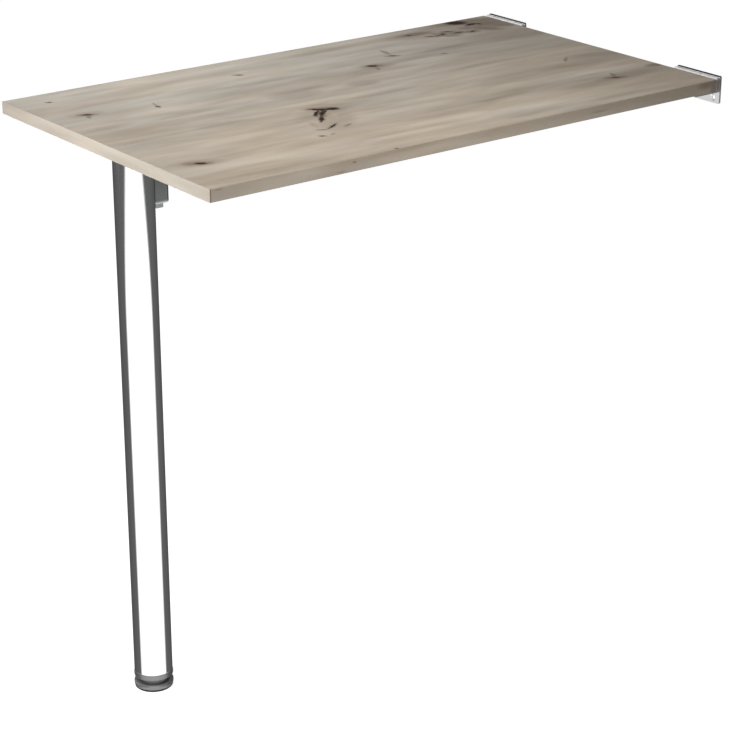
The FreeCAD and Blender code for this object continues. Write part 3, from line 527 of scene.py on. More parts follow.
def stroke_mask(recipe, point, marks, core):
    """Where any of the strokes lies: 1 in its core and fading to 0 at its border."""
    total = 0.0
    for (end_a, across_a, end_b, across_b, half_width), shift in marks:
        start, stop = on_board(end_a, across_a, shift), on_board(end_b, across_b, shift)
        run = (stop - start).normalized()
        half_length = (stop - start).length / 2 + half_width * MM
        total = recipe.call(stroke_tool.tree, {
            "Point": point, "Centre": (start + stop) / 2, "Length axis": run / half_length,
            "Width axis": Vector((-run.y, run.x, 0.0)) / (half_width * MM), "Core": core, "So far": total})
    return total


def knot_lean(recipe, point, across, eyes):
    """How far the grain leans aside to flow round the knots."""
    total = 0.0
    for (from_end, place, half_width, half_length), shift in eyes:
        centre = on_board(from_end, place, shift)
        total = recipe.call(knot_tool.tree, {
            "Point": point, "Across": across, "Centre": centre, "Middle": centre.x, "So far": total,
            "Stretch": (1 / (half_width * MM), 1 / (half_length * MM), 0.0)})
    return total


print("knots in the decor:", len(KNOT_EYES) + len(UNDER_EYES))

# %% [markdown]
# ## The grain itself
# Oak grain is noise stretched many times along the board: broad bands of tone, streaks a few
# millimetres wide, fine fibres and short dark pores. The same recipe serves the faces and the edges.
# It hands back a tone for the colour and a height for the relief that the decor sheet is pressed with.

# %% Grain from stretched noise
DRIFT_PER_M, DRIFT_REACH = (5.0, 2.5), 0.06
BAND_PER_M, BAND_WEIGHT = (15.0, 1.7), 0.90
BLOTCH_PER_M, BLOTCH_WEIGHT = (50.0, 10.0), 0.72
STREAK_PER_M, STREAK_WEIGHT = (120.0, 9.0), 0.20
FIBRE_PER_M, FIBRE_WEIGHT, FIBRE_RELIEF = (640.0, 24.0), 0.09, 0.5
PORE_PER_M, PORE_LIMITS, PORE_RELIEF = (1500.0, 60.0), (0.62, 0.74), 0.6
MEAN = 0.5


def stretched(recipe, across, along, per_m, detail=2.0, roughness=0.5):
    """Noise with one rate across the grain and another along it."""
    return recipe.noise(recipe.combine(recipe.math("MULTIPLY", across, per_m[0]),
                                       recipe.math("MULTIPLY", along, per_m[1])),
                        detail=detail, roughness=roughness)


def grain(recipe, across, along):
    """Tone, streaks, pores and relief of oak at a place given across and along the grain."""
    drift = recipe.math("SUBTRACT", stretched(recipe, across, along, DRIFT_PER_M), MEAN)
    across = recipe.math("ADD", across, recipe.math("MULTIPLY", drift, DRIFT_REACH))
    streaks = stretched(recipe, across, along, STREAK_PER_M, 3.0, 0.6)
    fibres = stretched(recipe, across, along, FIBRE_PER_M, 3.0, 0.6)
    pores = recipe.remap(stretched(recipe, across, along, PORE_PER_M), *PORE_LIMITS)
    tone = MEAN
    for share, weight in ((stretched(recipe, across, along, BAND_PER_M), BAND_WEIGHT),
                          (stretched(recipe, across, along, BLOTCH_PER_M, 3.0, 0.42), BLOTCH_WEIGHT),
                          (streaks, STREAK_WEIGHT), (fibres, FIBRE_WEIGHT)):
        off_mean = recipe.math("SUBTRACT", share, MEAN)
        tone = recipe.math("ADD", recipe.math("MULTIPLY", off_mean, weight), tone)
    relief = recipe.math("SUBTRACT", recipe.math("MULTIPLY", fibres, FIBRE_RELIEF),
                         recipe.math("MULTIPLY", pores, PORE_RELIEF))
    return tone, streaks, pores, relief


print("width and length of a fibre in mm:", [round(1000 / rate, 1) for rate in FIBRE_PER_M])

# %% [markdown]
# ## From tone to colour
# The print is a grey-beige oak. A single ramp from dark to light would look flat, because wood also
# wanders between cool and warm. So there are two ramps, and a warmth mixes them. The pores are the same
# dark brown everywhere. A last helper hands the colour to the shader, with the gloss and the relief of a
# pressed sheet: the ridges shine a little more than the pores.

# %% Oak colours
COOL_OAK = (colour(0.285, 0.250, 0.208), colour(0.635, 0.587, 0.515))
WARM_OAK = (colour(0.300, 0.235, 0.172), colour(0.655, 0.570, 0.462))
PORE_SHARE, PORE_BROWN = 0.15, colour(0.20, 0.155, 0.115)


def oak_colour(recipe, tone, pores, warmth):
    """Oak that is darker where the tone is low, and browner where the wood is warm."""
    body = recipe.blend(warmth, recipe.blend(tone, *COOL_OAK), recipe.blend(tone, *WARM_OAK))
    return recipe.blend(recipe.math("MULTIPLY", pores, PORE_SHARE), body, PORE_BROWN)


def lay_print(recipe, shader, wood, relief, roughness, specular, pressing):
    """Give the shader the wood, its roughness from pore to ridge, and the pressed relief."""
    recipe.feed(shader.inputs["Base Color"], wood)
    recipe.feed(shader.inputs["Roughness"], recipe.remap(relief, 0.0, 0.5, *roughness))
    shader.inputs["Specular IOR Level"].default_value = specular
    recipe.feed(shader.inputs["Normal"], recipe.bump(relief, *pressing))


print("oak runs from", COOL_OAK[0][:3], "to", WARM_OAK[1][:3])

# %% [markdown]
# ## Places on the decor
# The strokes are clean ellipses, but the marks in real wood have ragged borders. Each stroke could get
# more nodes for that. It is cheaper to move the point by a few millimetres of fine noise before the strokes
# look at it, which frays all of them at once.

# %% Find the place on the decor
WOBBLE_PER_M = (260.0, 150.0, 0.0)
WOBBLE_REACH = (0.005, 0.009, 0.0)

oak_decor, oak, oak_shader = new_finish("oak_decor_printed")
board_x, board_y, board_z = oak.split(part_point(oak))
board_low, board_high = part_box("top_board")
under_face = oak.math("LESS_THAN", board_z, (board_low.z + board_high.z) / 2)
decor_x = oak.math("ADD", board_x, oak.math("MULTIPLY", under_face, UNDERSIDE_SHIFT))
flat_point = oak.combine(decor_x, board_y)
wobble = oak.add("ShaderNodeTexNoise")
wobble.inputs["Scale"].default_value = 1.0
oak.feed(wobble.inputs["Vector"], oak.vector("MULTIPLY", flat_point, WOBBLE_PER_M))
wobble_shift = oak.vector("SUBTRACT", wobble.outputs["Color"], (MEAN, MEAN, MEAN))
rough_point = oak.vector("ADD", flat_point, oak.vector("MULTIPLY", wobble_shift, WOBBLE_REACH))
print("the decor covers", round(board_high.y - board_low.y, 3), "m of board")

# %% [markdown]
# ## Tone of the top
# The grain flows round the knots. Long streaks darken it, more where the fine streaks let them through,
# and pale stretches lift it. The wood is browner on the right than on the left, in two soft rises, and a
# slow noise breaks that up.

# %% Tone and warmth of the top
FIRST_WARM_RISE = (-0.12, -0.02, 0.0, 0.52)
SECOND_WARM_RISE = (0.08, 0.20, 0.0, 0.20)
WARM_PATCH_PER_M = (16.0, 4.0)
WARM_PATCH_RANGE = (0.3, 0.7, -0.30, 0.50)
STREAK_DEPTH = (0.36, 0.62, 0.10, 0.24)
PALE_LIFT = 0.16
SOFT_CORE = 0.0

eye_lean = knot_lean(oak, flat_point, decor_x, both_faces(KNOT_EYES, UNDER_EYES))
tone, fine_streaks, pores, relief = grain(oak, oak.math("SUBTRACT", decor_x, eye_lean), board_y)
warm_patches = stretched(oak, decor_x, board_y, WARM_PATCH_PER_M, 3.0)
warm_sides = oak.math("ADD", oak.remap(decor_x, *FIRST_WARM_RISE), oak.remap(decor_x, *SECOND_WARM_RISE))
warm_share = oak.math("ADD", warm_sides, oak.remap(warm_patches, *WARM_PATCH_RANGE))
streaks = stroke_mask(oak, rough_point, both_faces(TOP_STREAKS, UNDER_STREAKS), SOFT_CORE)
pales = stroke_mask(oak, rough_point, both_faces(TOP_PALES, UNDER_PALES), SOFT_CORE)
streak_depth = oak.remap(fine_streaks, *STREAK_DEPTH)
tone = oak.math("SUBTRACT", tone, oak.math("MULTIPLY", streaks, streak_depth))
tone = oak.math("ADD", tone, oak.math("MULTIPLY", pales, PALE_LIFT), clamp=True)
print("tone and warmth take", len(oak.tree.nodes), "nodes")

# %% [markdown]
# ## Knots and cracks of the top
# The marks are inked over the oak like the layers of a print, from weak to strong: wide brown tints
# round the knots, then smudges, then the nearly black cracks in their middle. Some wide tints and smudges
# also darken the far corner and the strip along the wall end. Only the cracks have a firm core.

# %% Ink the marks of the top
FIRM_CORE = 0.12
TINT_SHARE, TINT_INK = 0.38, colour(0.265, 0.205, 0.155)
SMUDGE_SHARE, SMUDGE_INK = 0.62, colour(0.165, 0.116, 0.082)
CRACK_SHARE, CRACK_INK = 0.98, colour(0.020, 0.011, 0.006)
DECOR_ROUGHNESS, DECOR_SPECULAR, DECOR_PRESSING = (0.62, 0.48), 0.18, (0.35, 0.0004)

decor = oak_colour(oak, tone, pores, warm_share)
for marks, core, share, ink in (
        (both_faces(TOP_TINTS, UNDER_TINTS), SOFT_CORE, TINT_SHARE, TINT_INK),
        (both_faces(TOP_SMUDGES, UNDER_SMUDGES), SOFT_CORE, SMUDGE_SHARE, SMUDGE_INK),
        (both_faces(TOP_CRACKS, UNDER_CRACKS), FIRM_CORE, CRACK_SHARE, CRACK_INK)):
    mask = stroke_mask(oak, rough_point, marks, core)
    decor = oak.blend(oak.math("MULTIPLY", mask, share), decor, ink)
lay_print(oak, oak_shader, decor, relief, DECOR_ROUGHNESS, DECOR_SPECULAR, DECOR_PRESSING)
print("oak decor has", len(oak.tree.nodes), "nodes")

# %% [markdown]
# ## Marks on the long bands
# Thin bands with the same oak print cover the cut edges. A long band has a few knots of its own, a grey
# painted shade at its wall end beside the hinge, and a dark glue joint at the free end. Knots are written
# as (from the free end, height, half length, half height, depth), in millimetres apart from the depth.
# They are simple ellipses, since a band is too low to show more.

# %% Marks of the long bands
LONG_BAND_KNOTS = ((779, 23.5, 22.0, 7.5, 0.5), (202, 23.2, 4.5, 1.5, 0.8), (12, 25.6, 9.0, 1.6, 0.4),
                   (182, 14.6, 9.0, 1.4, 0.35), (590, 20.0, 26.0, 2.2, 0.3))
BAND_KNOT_CORE, BAND_KNOT_BROWN = 0.1, colour(0.13, 0.085, 0.06)
# A painted grey shade at the wall end of a long band, beside the hinge
WALL_END_SHADE = (784.0, 793.0, 0.7, colour(0.20, 0.182, 0.170))
GLUE_JOINT = (2.4, 1.2, 0.65, colour(0.11, 0.075, 0.05))


def long_band_marks(recipe, y, z, wood):
    """The wood of a long band with its knots, its painted shade at the wall end and its glue joint."""
    knots = 0.0
    for from_end, height, half_length, half_height, depth in LONG_BAND_KNOTS:
        off_knot = recipe.vector("SUBTRACT", recipe.combine(0.0, y, z),
                                 (0.0, FREE_END_Y + from_end * MM, height * MM))
        off_knot = recipe.vector("MULTIPLY", off_knot, (0.0, 1 / (half_length * MM), 1 / (half_height * MM)))
        knot = recipe.remap(recipe.vector("LENGTH", off_knot), 1.0, BAND_KNOT_CORE, 0.0, depth)
        knots = recipe.math("MAXIMUM", knot, knots)
    wood = recipe.blend(knots, wood, BAND_KNOT_BROWN)
    for start, stop, share, tint in (WALL_END_SHADE, GLUE_JOINT):
        zone = recipe.remap(y, FREE_END_Y + start * MM, FREE_END_Y + stop * MM, 0.0, share)
        wood = recipe.blend(zone, wood, tint)
    return wood


print("knots on a long band:", len(LONG_BAND_KNOTS))

# %% [markdown]
# ## The edge bands
# On a band the grain runs along its length, so one function makes the finish for either direction. It
# takes the grain of the faces, with less contrast. Light and shade are painted along the band in steps,
# written as (start, end, change of tone), in millimetres from the free end or from the left: painted
# light in the middle of the end band and painted shade towards its ends, painted light near the free end
# of the long band and painted shade towards the wall. The long band's steps also follow some uneven tone
# of its print. The long bands also get darker and warmer towards their upper edge.

# %% Finish the bands
LEFT_END_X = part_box("edge_band_left")[0].x
# Painted light and shade along the bands; the long band's steps also follow some uneven tone of its print
END_BAND_LIGHT_STEPS = ((20, 110, 0.07), (120, 200, 0.105), (220, 310, -0.11), (310, 390, -0.03))
LONG_BAND_LIGHT_AND_TONE_STEPS = ((20, 100, -0.06), (120, 200, -0.26), (230, 320, 0.06), (340, 480, 0.05), (580, 800, -0.16))
BAND_HEIGHT_RATE, BAND_SIDE_RATE = 1.6, 3.7
BAND_CONTRAST = 0.8
BAND_PATCH_PER_M, BAND_PATCH_RANGE = 9.0, (0.3, 0.7, -0.2, 0.2)
BAND_ROUGHNESS, BAND_SPECULAR, BAND_PRESSING = (0.6, 0.5), 0.3, (0.3, 0.0003)


def band_finish(name, runs_across, lightness, warmth, top_shade, light_and_tone_steps):
    """The oak print on an edge band that runs across the table or along it."""
    material, recipe, shader = new_finish(name)
    x, y, z = recipe.split(part_point(recipe))
    along, side, band_start = (x, y, LEFT_END_X) if runs_across else (y, x, FREE_END_Y)
    across = recipe.math("ADD", recipe.math("MULTIPLY", z, BAND_HEIGHT_RATE),
                         recipe.math("MULTIPLY", side, BAND_SIDE_RATE))
    band_tone, _, band_pores, band_relief = grain(recipe, across, along)
    band_tone = recipe.math("ADD", recipe.math("MULTIPLY", band_tone, BAND_CONTRAST),
                            lightness - BAND_CONTRAST / 2)
    high = recipe.remap(z, board_low.z, board_high.z)
    shade = recipe.math("MULTIPLY", high, -top_shade)
    # painted light and shade along the band, in steps
    for start, stop, change in light_and_tone_steps:
        shade = recipe.math("ADD", shade, recipe.remap(along, band_start + start * MM, band_start + stop * MM,
                                                       0.0, change))
    band_tone = recipe.math("ADD", band_tone, shade, clamp=True)
    patches = recipe.noise(recipe.math("MULTIPLY", along, BAND_PATCH_PER_M))
    band_warmth = recipe.math("ADD", recipe.remap(patches, *BAND_PATCH_RANGE), warmth)
    band_warmth = recipe.math("ADD", band_warmth, recipe.math("MULTIPLY", high, 2 * top_shade))
    wood = oak_colour(recipe, band_tone, band_pores, band_warmth)
    if not runs_across:
        wood = long_band_marks(recipe, y, z, wood)
    lay_print(recipe, shader, wood, band_relief, BAND_ROUGHNESS, BAND_SPECULAR, BAND_PRESSING)
    print(name, "has", len(recipe.tree.nodes), "nodes")
    return material


end_band = band_finish("oak_edge_end", runs_across=True, lightness=0.42, warmth=0.28, top_shade=0.0,
                       light_and_tone_steps=END_BAND_LIGHT_STEPS)
long_band = band_finish("oak_edge_long", runs_across=False, lightness=0.78, warmth=0.70, top_shade=0.18,
                        light_and_tone_steps=LONG_BAND_LIGHT_AND_TONE_STEPS)

# %% [markdown]
# ## Plain metals
# The tube is polished chrome: nearly a mirror, with faint drawing lines along it. The bracket is satin
# grey, the sleeve of the foot is plated dull, and bolts and screws are zinc plated, the screws with a
# yellow cast. No real surface is the same all over, so one noise varies the colour and the roughness of
# each metal and gives it a fine relief. Stretched along an axis, the noise becomes drawing lines.

# %% Finish the plain metals
METAL_DEEP_SHARE = 0.90
METAL_BUMP = 0.25


def metal_finish(name, tint, roughness, grain_per_m, relief_depth, spread, metallic=1.0):
    """A metal whose colour and roughness vary with a noise that may be stretched along one axis."""
    material, recipe, shader = new_finish(name)
    lines = recipe.noise(recipe.vector("MULTIPLY", part_point(recipe), grain_per_m),
                         detail=4.0, roughness=0.6)
    deep = colour(*(share * METAL_DEEP_SHARE for share in tint))
    recipe.feed(shader.inputs["Base Color"], recipe.blend(lines, deep, colour(*tint)))
    recipe.feed(shader.inputs["Roughness"], recipe.remap(lines, 0.2, 0.8, roughness, roughness + spread))
    shader.inputs["Metallic"].default_value = metallic
    recipe.feed(shader.inputs["Normal"], recipe.bump(lines, METAL_BUMP, relief_depth))
    return material


chrome = metal_finish("polished_chrome", (0.92, 0.92, 0.93), roughness=0.035, spread=0.03,
                      grain_per_m=(900.0, 900.0, 5.0), relief_depth=0.000004)
satin_grey = metal_finish("satin_bracket", (0.50, 0.50, 0.50), roughness=0.34, spread=0.14,
                          grain_per_m=(420.0, 420.0, 420.0), relief_depth=0.00005)
sleeve_metal = metal_finish("plated_sleeve", (0.275, 0.275, 0.275), roughness=0.33, spread=0.06,
                            grain_per_m=(600.0, 600.0, 600.0), relief_depth=0.00001, metallic=0.8)
zinc = metal_finish("zinc_bolts", (0.66, 0.65, 0.62), roughness=0.24, spread=0.16,
                    grain_per_m=(700.0, 700.0, 700.0), relief_depth=0.00003)
yellow_zinc = metal_finish("zinc_screws", (0.70, 0.66, 0.55), roughness=0.24, spread=0.16,
                           grain_per_m=(700.0, 700.0, 700.0), relief_depth=0.00003)
print("plain metals:", [metal.name for metal in (chrome, satin_grey, sleeve_metal, zinc, yellow_zinc)])

# %% [markdown]
# ## The cast head and the foot disc
# Both pieces have two finishes on one solid. The head of the leg is a grey casting with a painted highlight
# on the lips and the step at its lower end. The foot disc is satin, with painted shade on the recessed neck
# that goes up into the sleeve. The solids could be cut apart for this. A second tint that depends on the
# height does the same, and the pieces stay whole.

# %% Finish the cast head and the foot disc
# Heights of the painted highlight on the lower lips of the cast head
HEEL_Z = -62.0 * MM
HEEL_FADE = (6.0 * MM, 1.0 * MM)
TOE_Z = -67.0 * MM
TOE_FADE = (-0.8 * MM, -0.2 * MM)
# Heights of the painted shade on the recessed neck of the foot disc
NECK_Z = -712.0 * MM
NECK_FADE = (-0.6 * MM, 0.2 * MM)


def fade_at(recipe, z, level, fade):
    """A share that rises from 0 to 1 between two heights near a level."""
    return recipe.remap(z, level + fade[0], level + fade[1])


def lip_highlights(recipe, z):
    """A painted highlight on the lower lips of the head, from the heel down to the toe."""
    return recipe.math("MULTIPLY", fade_at(recipe, z, HEEL_Z, HEEL_FADE), fade_at(recipe, z, TOE_Z, TOE_FADE))


def painted_neck_shade(recipe, z):
    """Painted shade on the recessed neck between disc and sleeve."""
    return fade_at(recipe, z, NECK_Z, NECK_FADE)


def add_second_tint(material, make_share, tint):
    """Blend a second colour into a metal where the share says so."""
    recipe = Recipe(material.node_tree)
    base = material.node_tree.nodes["Principled BSDF"].inputs["Base Color"]
    first = base.links[0].from_socket
    share = make_share(recipe, recipe.split(part_point(recipe))[2])
    recipe.feed(base, recipe.blend(share, first, colour(*tint)))


cast_metal = metal_finish("cast_head", (0.205, 0.213, 0.208), roughness=0.27, spread=0.10,
                          grain_per_m=(260.0, 260.0, 260.0), relief_depth=0.00008)
# painted highlight on the lower lips of the cast head
add_second_tint(cast_metal, lip_highlights, (0.43, 0.44, 0.43))
satin_foot = metal_finish("satin_foot_disc", (0.29, 0.29, 0.29), roughness=0.30, spread=0.08,
                          grain_per_m=(500.0, 500.0, 500.0), relief_depth=0.00002, metallic=0.55)
# painted shade on the recessed neck of the foot disc
add_second_tint(satin_foot, painted_neck_shade, (0.135, 0.135, 0.135))
print("painted lip highlights lie at", round(HEEL_Z, 3), "and", round(TOE_Z, 3), "m")

# %% [markdown]
# ## The hinges
# The leaves are bent from plated sheet: satin on the upper part and polished lower down. The upper edge
# and the ends of the sheet are darker, as painted shade. These faces could be picked by hand, but the
# solids may be built again. So the recipe finds them itself: the ends by the direction of the face, and
# the upper edge by its height.

# %% Finish the hinges
LEAF_TOP_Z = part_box("wall_leaf_right")[1].z
POLISHED_BELOW_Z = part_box("top_leaf_right")[0].z
# Painted shade on the upper edge and on the ends of the hinge leaves
TOP_EDGE_SHADE_FADE = (-1.6 * MM, -1.0 * MM)
POLISH_FADE = (4.0 * MM, 0.0)
TOP_EDGE_SHADE_TINT = colour(0.055, 0.055, 0.057)
UPPER_END_SHADE_TINT = colour(0.26, 0.25, 0.24)
LOWER_END_SHADE_TINT = colour(0.62, 0.62, 0.62)
SATIN_PLATING = (colour(0.86, 0.86, 0.86), colour(0.93, 0.93, 0.93))
POLISHED_PLATING = (colour(0.62, 0.62, 0.62), colour(0.78, 0.78, 0.78))
SATIN_ROUGHNESS, POLISHED_ROUGHNESS = (0.34, 0.48), (0.05, 0.09)
PLATING_METALLIC = (0.25, 0.92)
ROLLING_LINES_PER_M = (60.0, 900.0, 900.0)

hinge_steel, hinge, hinge_shader = new_finish("plated_hinge")
hinge_coords = hinge.add("ShaderNodeTexCoord")
hinge_point = hinge_coords.outputs["Object"]
hinge_z = hinge.split(hinge_point)[2]
hinge_lines = hinge.noise(hinge.vector("MULTIPLY", hinge_point, ROLLING_LINES_PER_M), detail=3.0)
# painted shade on the ends and the upper edge
shaded_end = hinge.remap(hinge.math("ABSOLUTE", hinge.split(hinge_coords.outputs["Normal"])[0]), 0.5, 0.9)
shaded_top = fade_at(hinge, hinge_z, LEAF_TOP_Z, TOP_EDGE_SHADE_FADE)
polish = fade_at(hinge, hinge_z, POLISHED_BELOW_Z, POLISH_FADE)
plating = hinge.blend(polish, hinge.blend(hinge_lines, *SATIN_PLATING),
                      hinge.blend(hinge_lines, *POLISHED_PLATING))
plating = hinge.blend(shaded_end, plating, hinge.blend(polish, UPPER_END_SHADE_TINT, LOWER_END_SHADE_TINT))
hinge.feed(hinge_shader.inputs["Base Color"], hinge.blend(shaded_top, plating, TOP_EDGE_SHADE_TINT))
mirror_share = hinge.math("SUBTRACT", polish, shaded_end)
hinge.feed(hinge_shader.inputs["Metallic"], hinge.remap(mirror_share, 0.0, 1.0, *PLATING_METALLIC))
satin, polished = (hinge.remap(hinge_lines, 0.2, 0.8, *roughness)
                   for roughness in (SATIN_ROUGHNESS, POLISHED_ROUGHNESS))
hinge.feed(hinge_shader.inputs["Roughness"], hinge.blend_numbers(polish, satin, polished))
hinge.feed(hinge_shader.inputs["Normal"], hinge.bump(hinge_lines, 0.05, 0.000005))
print("hinges are polished below", round(POLISHED_BELOW_Z, 4), "m")

# %% [markdown]
# ## Plastics and rubber
# The bush and the washers of the pivot are natural nylon, and the buffer and the pad under the foot are
# black rubber. Moulded surfaces have no lines. They get two noises of different size: fine pebbles for the
# relief and the gloss, and wide clouds for the colour.

# %% Finish the plastics and the rubber
CLOUD_SHARE = 0.06
MOULDED_DEEP_SHARE = 0.72
MOULDED_SPREAD = 0.15
MOULDED_BUMP = 0.4


def moulded_finish(name, tint, roughness, grain_per_m, relief_depth):
    """A moulded plastic or rubber with a fine grain."""
    material, recipe, shader = new_finish(name)
    point = part_point(recipe)
    pebbles = recipe.noise(point, grain_per_m, 3.0, 0.6)
    clouds = recipe.noise(point, grain_per_m * CLOUD_SHARE)
    deep = colour(*(share * MOULDED_DEEP_SHARE for share in tint))
    recipe.feed(shader.inputs["Base Color"], recipe.blend(clouds, deep, colour(*tint)))
    recipe.feed(shader.inputs["Roughness"],
                recipe.remap(pebbles, 0.2, 0.8, roughness, roughness + MOULDED_SPREAD))
    recipe.feed(shader.inputs["Normal"], recipe.bump(pebbles, MOULDED_BUMP, relief_depth))
    return material


nylon = moulded_finish("natural_nylon", (0.80, 0.79, 0.74), roughness=0.38, grain_per_m=900.0,
                       relief_depth=0.00004)
rubber = moulded_finish("black_rubber_moulded", (0.040, 0.040, 0.040), roughness=0.62, grain_per_m=1200.0,
                        relief_depth=0.00010)
print("moulded finishes:", nylon.name, "and", rubber.name)

# %% [markdown]
# ## Who wears what
# Every piece of the construction model has a name, so a table of names says which finish it gets. Naming
# all of them, and not only a group, makes a forgotten piece an error at once.

# %% Hand the finishes out
FINISH_OF_NODE = {
    "top_board": oak_decor,
    "edge_band_free_end": end_band, "edge_band_wall_end": end_band,
    "edge_band_left": long_band, "edge_band_right": long_band,
    "leg_tube": chrome, "foot_disc": satin_foot,
    "wall_leaf_left": hinge_steel, "wall_leaf_right": hinge_steel,
    "top_leaf_left": hinge_steel, "top_leaf_right": hinge_steel,
    "hinge_pin_left": hinge_steel, "hinge_pin_right": hinge_steel,
    "bracket_plate": satin_grey, "leg_bracket": satin_grey, "leg_head": cast_metal,
    "pivot_bolt": zinc, "pivot_nut": zinc, "foot_stem": zinc,
    "top_leaf_screws": yellow_zinc, "bracket_screws": yellow_zinc,
    "pivot_bush": nylon, "friction_washers": nylon,
    "fold_buffer": rubber, "foot_pad": rubber, "foot_insert": sleeve_metal,
}
for name, piece in nodes.items():
    piece.data.materials.clear()
    piece.data.materials.append(FINISH_OF_NODE[name])
print("finishes given to", len(FINISH_OF_NODE), "pieces")

# %% [markdown]
# ## Soft edges
# No real edge is a knife edge, and it is the thin highlight along an edge that makes a piece look real.
# The construction mesh arrives with its faces split apart, and a bevel can't round what isn't joined.
# Joining by hand would change the construction mesh, so a small node tool joins the faces as a modifier
# and marks the sharp edges.

# %% Join the faces and mark sharp edges
SHARP_ANGLE = math.radians(32.0)
JOIN_DISTANCE = 0.000002

joiner = bpy.data.node_groups.new("join_faces", "GeometryNodeTree")
joiner.interface.new_socket(name="Geometry", in_out="INPUT", socket_type="NodeSocketGeometry")
joiner.interface.new_socket(name="Geometry", in_out="OUTPUT", socket_type="NodeSocketGeometry")
steps = Recipe(joiner)
source = steps.add("NodeGroupInput")
bare = steps.add("GeometryNodeRemoveAttribute")
steps.feed(bare.inputs["Geometry"], source.outputs[0])
bare.inputs["Name"].default_value = "custom_normal"
merged = steps.add("GeometryNodeMergeByDistance")
steps.feed(merged.inputs["Geometry"], bare.outputs[0])
merged.inputs["Distance"].default_value = JOIN_DISTANCE
smooth_faces = steps.add("GeometryNodeSetShadeSmooth", domain="FACE")
steps.feed(smooth_faces.inputs["Geometry"], merged.outputs[0])
edge_angle = steps.add("GeometryNodeInputMeshEdgeAngle")
gentle = steps.math("LESS_THAN", edge_angle.outputs["Unsigned Angle"], SHARP_ANGLE)
smooth_edges = steps.add("GeometryNodeSetShadeSmooth", domain="EDGE")
steps.feed(smooth_edges.inputs["Geometry"], smooth_faces.outputs[0])
steps.feed(smooth_edges.inputs["Shade Smooth"], gentle)
sink = steps.add("NodeGroupOutput")
steps.feed(sink.inputs[0], smooth_edges.outputs[0])
print("joiner has", len(joiner.nodes), "nodes")

# %% [markdown]
# ## Round the edges
# A bevel then rounds the sharp edges by the amount that suits each piece, in millimetres: a cast head is
# rounder than sheet steel. The face of the board meets the bands without a gap and stays sharp.

# %% Round the edges
BEVEL_SEGMENTS = 3
EDGE_RADIUS_MM = {
    "edge_band_free_end": 0.45, "edge_band_wall_end": 0.45, "edge_band_left": 0.45, "edge_band_right": 0.45,
    "wall_leaf_left": 0.3, "wall_leaf_right": 0.3, "top_leaf_left": 0.3, "top_leaf_right": 0.3,
    "hinge_pin_left": 0.3, "hinge_pin_right": 0.3, "bracket_plate": 0.5, "leg_bracket": 0.5,
    "leg_head": 0.8, "pivot_bolt": 0.4, "leg_tube": 0.35, "foot_insert": 0.5, "fold_buffer": 0.8,
    "friction_washers": 0.15, "pivot_bush": 0.2, "bracket_screws": 0.12, "top_leaf_screws": 0.12,
}


def soften(piece, radius_mm):
    """Join the faces of a piece, and round its edges if a radius is given."""
    piece.modifiers.new("joined", "NODES").node_group = joiner
    if radius_mm:
        bevel = piece.modifiers.new("soft_edges", "BEVEL")
        bevel.width = radius_mm * MM
        bevel.segments = BEVEL_SEGMENTS
        bevel.limit_method = "ANGLE"
        bevel.angle_limit = SHARP_ANGLE
        bevel.harden_normals = True


for name, piece in nodes.items():
    soften(piece, EDGE_RADIUS_MM.get(name, 0.0))
print("edges rounded on", len(EDGE_RADIUS_MM), "pieces")

# %% [markdown]
# ## Pieces with finer shapes
# Some pieces are plain solids in the construction model, because their fine shape does no work there.
# Here they get it. Three of them are turned shapes: rings of points round an axis. A screw modifier makes
# such shapes too, but its rings are all round. This tool lets the radius change with the angle, which the
# thread and the hexagon of the nut need.

# %% A turning tool
STEPS_ROUND = 72


def add_piece(name, mesh, finish):
    """Put a finished mesh into the scene."""
    bmesh.ops.recalc_face_normals(mesh, faces=mesh.faces)
    data = bpy.data.meshes.new(name)
    mesh.to_mesh(data)
    mesh.free()
    data.materials.append(finish)
    piece = bpy.data.objects.new(name, data)
    scene.collection.objects.link(piece)
    piece.modifiers.new("joined", "NODES").node_group = joiner
    print(name, "has", len(data.vertices), "points")
    return piece


def turned_piece(name, origin, axis, rows, finish):
    """Rings of points round an axis. Each row is (place along the axis, radius or radius at an angle)."""
    mesh = bmesh.new()
    along = Vector(axis)
    side = along.orthogonal().normalized()
    other = along.cross(side)
    rings = []
    for place, radius in rows:
        ring = []
        for step in range(STEPS_ROUND):
            angle = 2 * math.pi * step / STEPS_ROUND
            reach = radius(angle) if callable(radius) else radius
            spoke = side * math.cos(angle) + other * math.sin(angle)
            ring.append(mesh.verts.new(origin + along * place + spoke * reach))
        rings.append(ring)
    for lower, upper in zip(rings, rings[1:]):
        for step in range(STEPS_ROUND):
            following = (step + 1) % STEPS_ROUND
            mesh.faces.new((lower[step], lower[following], upper[following], upper[step]))
    mesh.faces.new(list(reversed(rings[0])))
    mesh.faces.new(rings[-1])
    return add_piece(name, mesh, finish)


print("turned pieces have", STEPS_ROUND, "points round")

# %% [markdown]
# ## The thread of the foot stem
# The foot screws into the leg on a threaded stem. The thread is one helix: along the stem the same profile
# comes back once per pitch, and round the stem it is shifted by the angle. Rings whose radius follows that
# rule give the helix without a sweep, and the outline stays inside the plain stem.

# %% Cut the thread of the foot stem
THREAD_PITCH = 1.5 * MM
THREAD_DEPTH = 0.8 * MM
THREAD_FLAT = 0.12
ROWS_PER_TURN = 8

stem_low, stem_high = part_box("foot_stem")
stem_radius = (stem_high.x - stem_low.x) / 2
stem_length = stem_high.z - stem_low.z
stem_origin = Vector(((stem_low.x + stem_high.x) / 2, (stem_low.y + stem_high.y) / 2, stem_low.z))


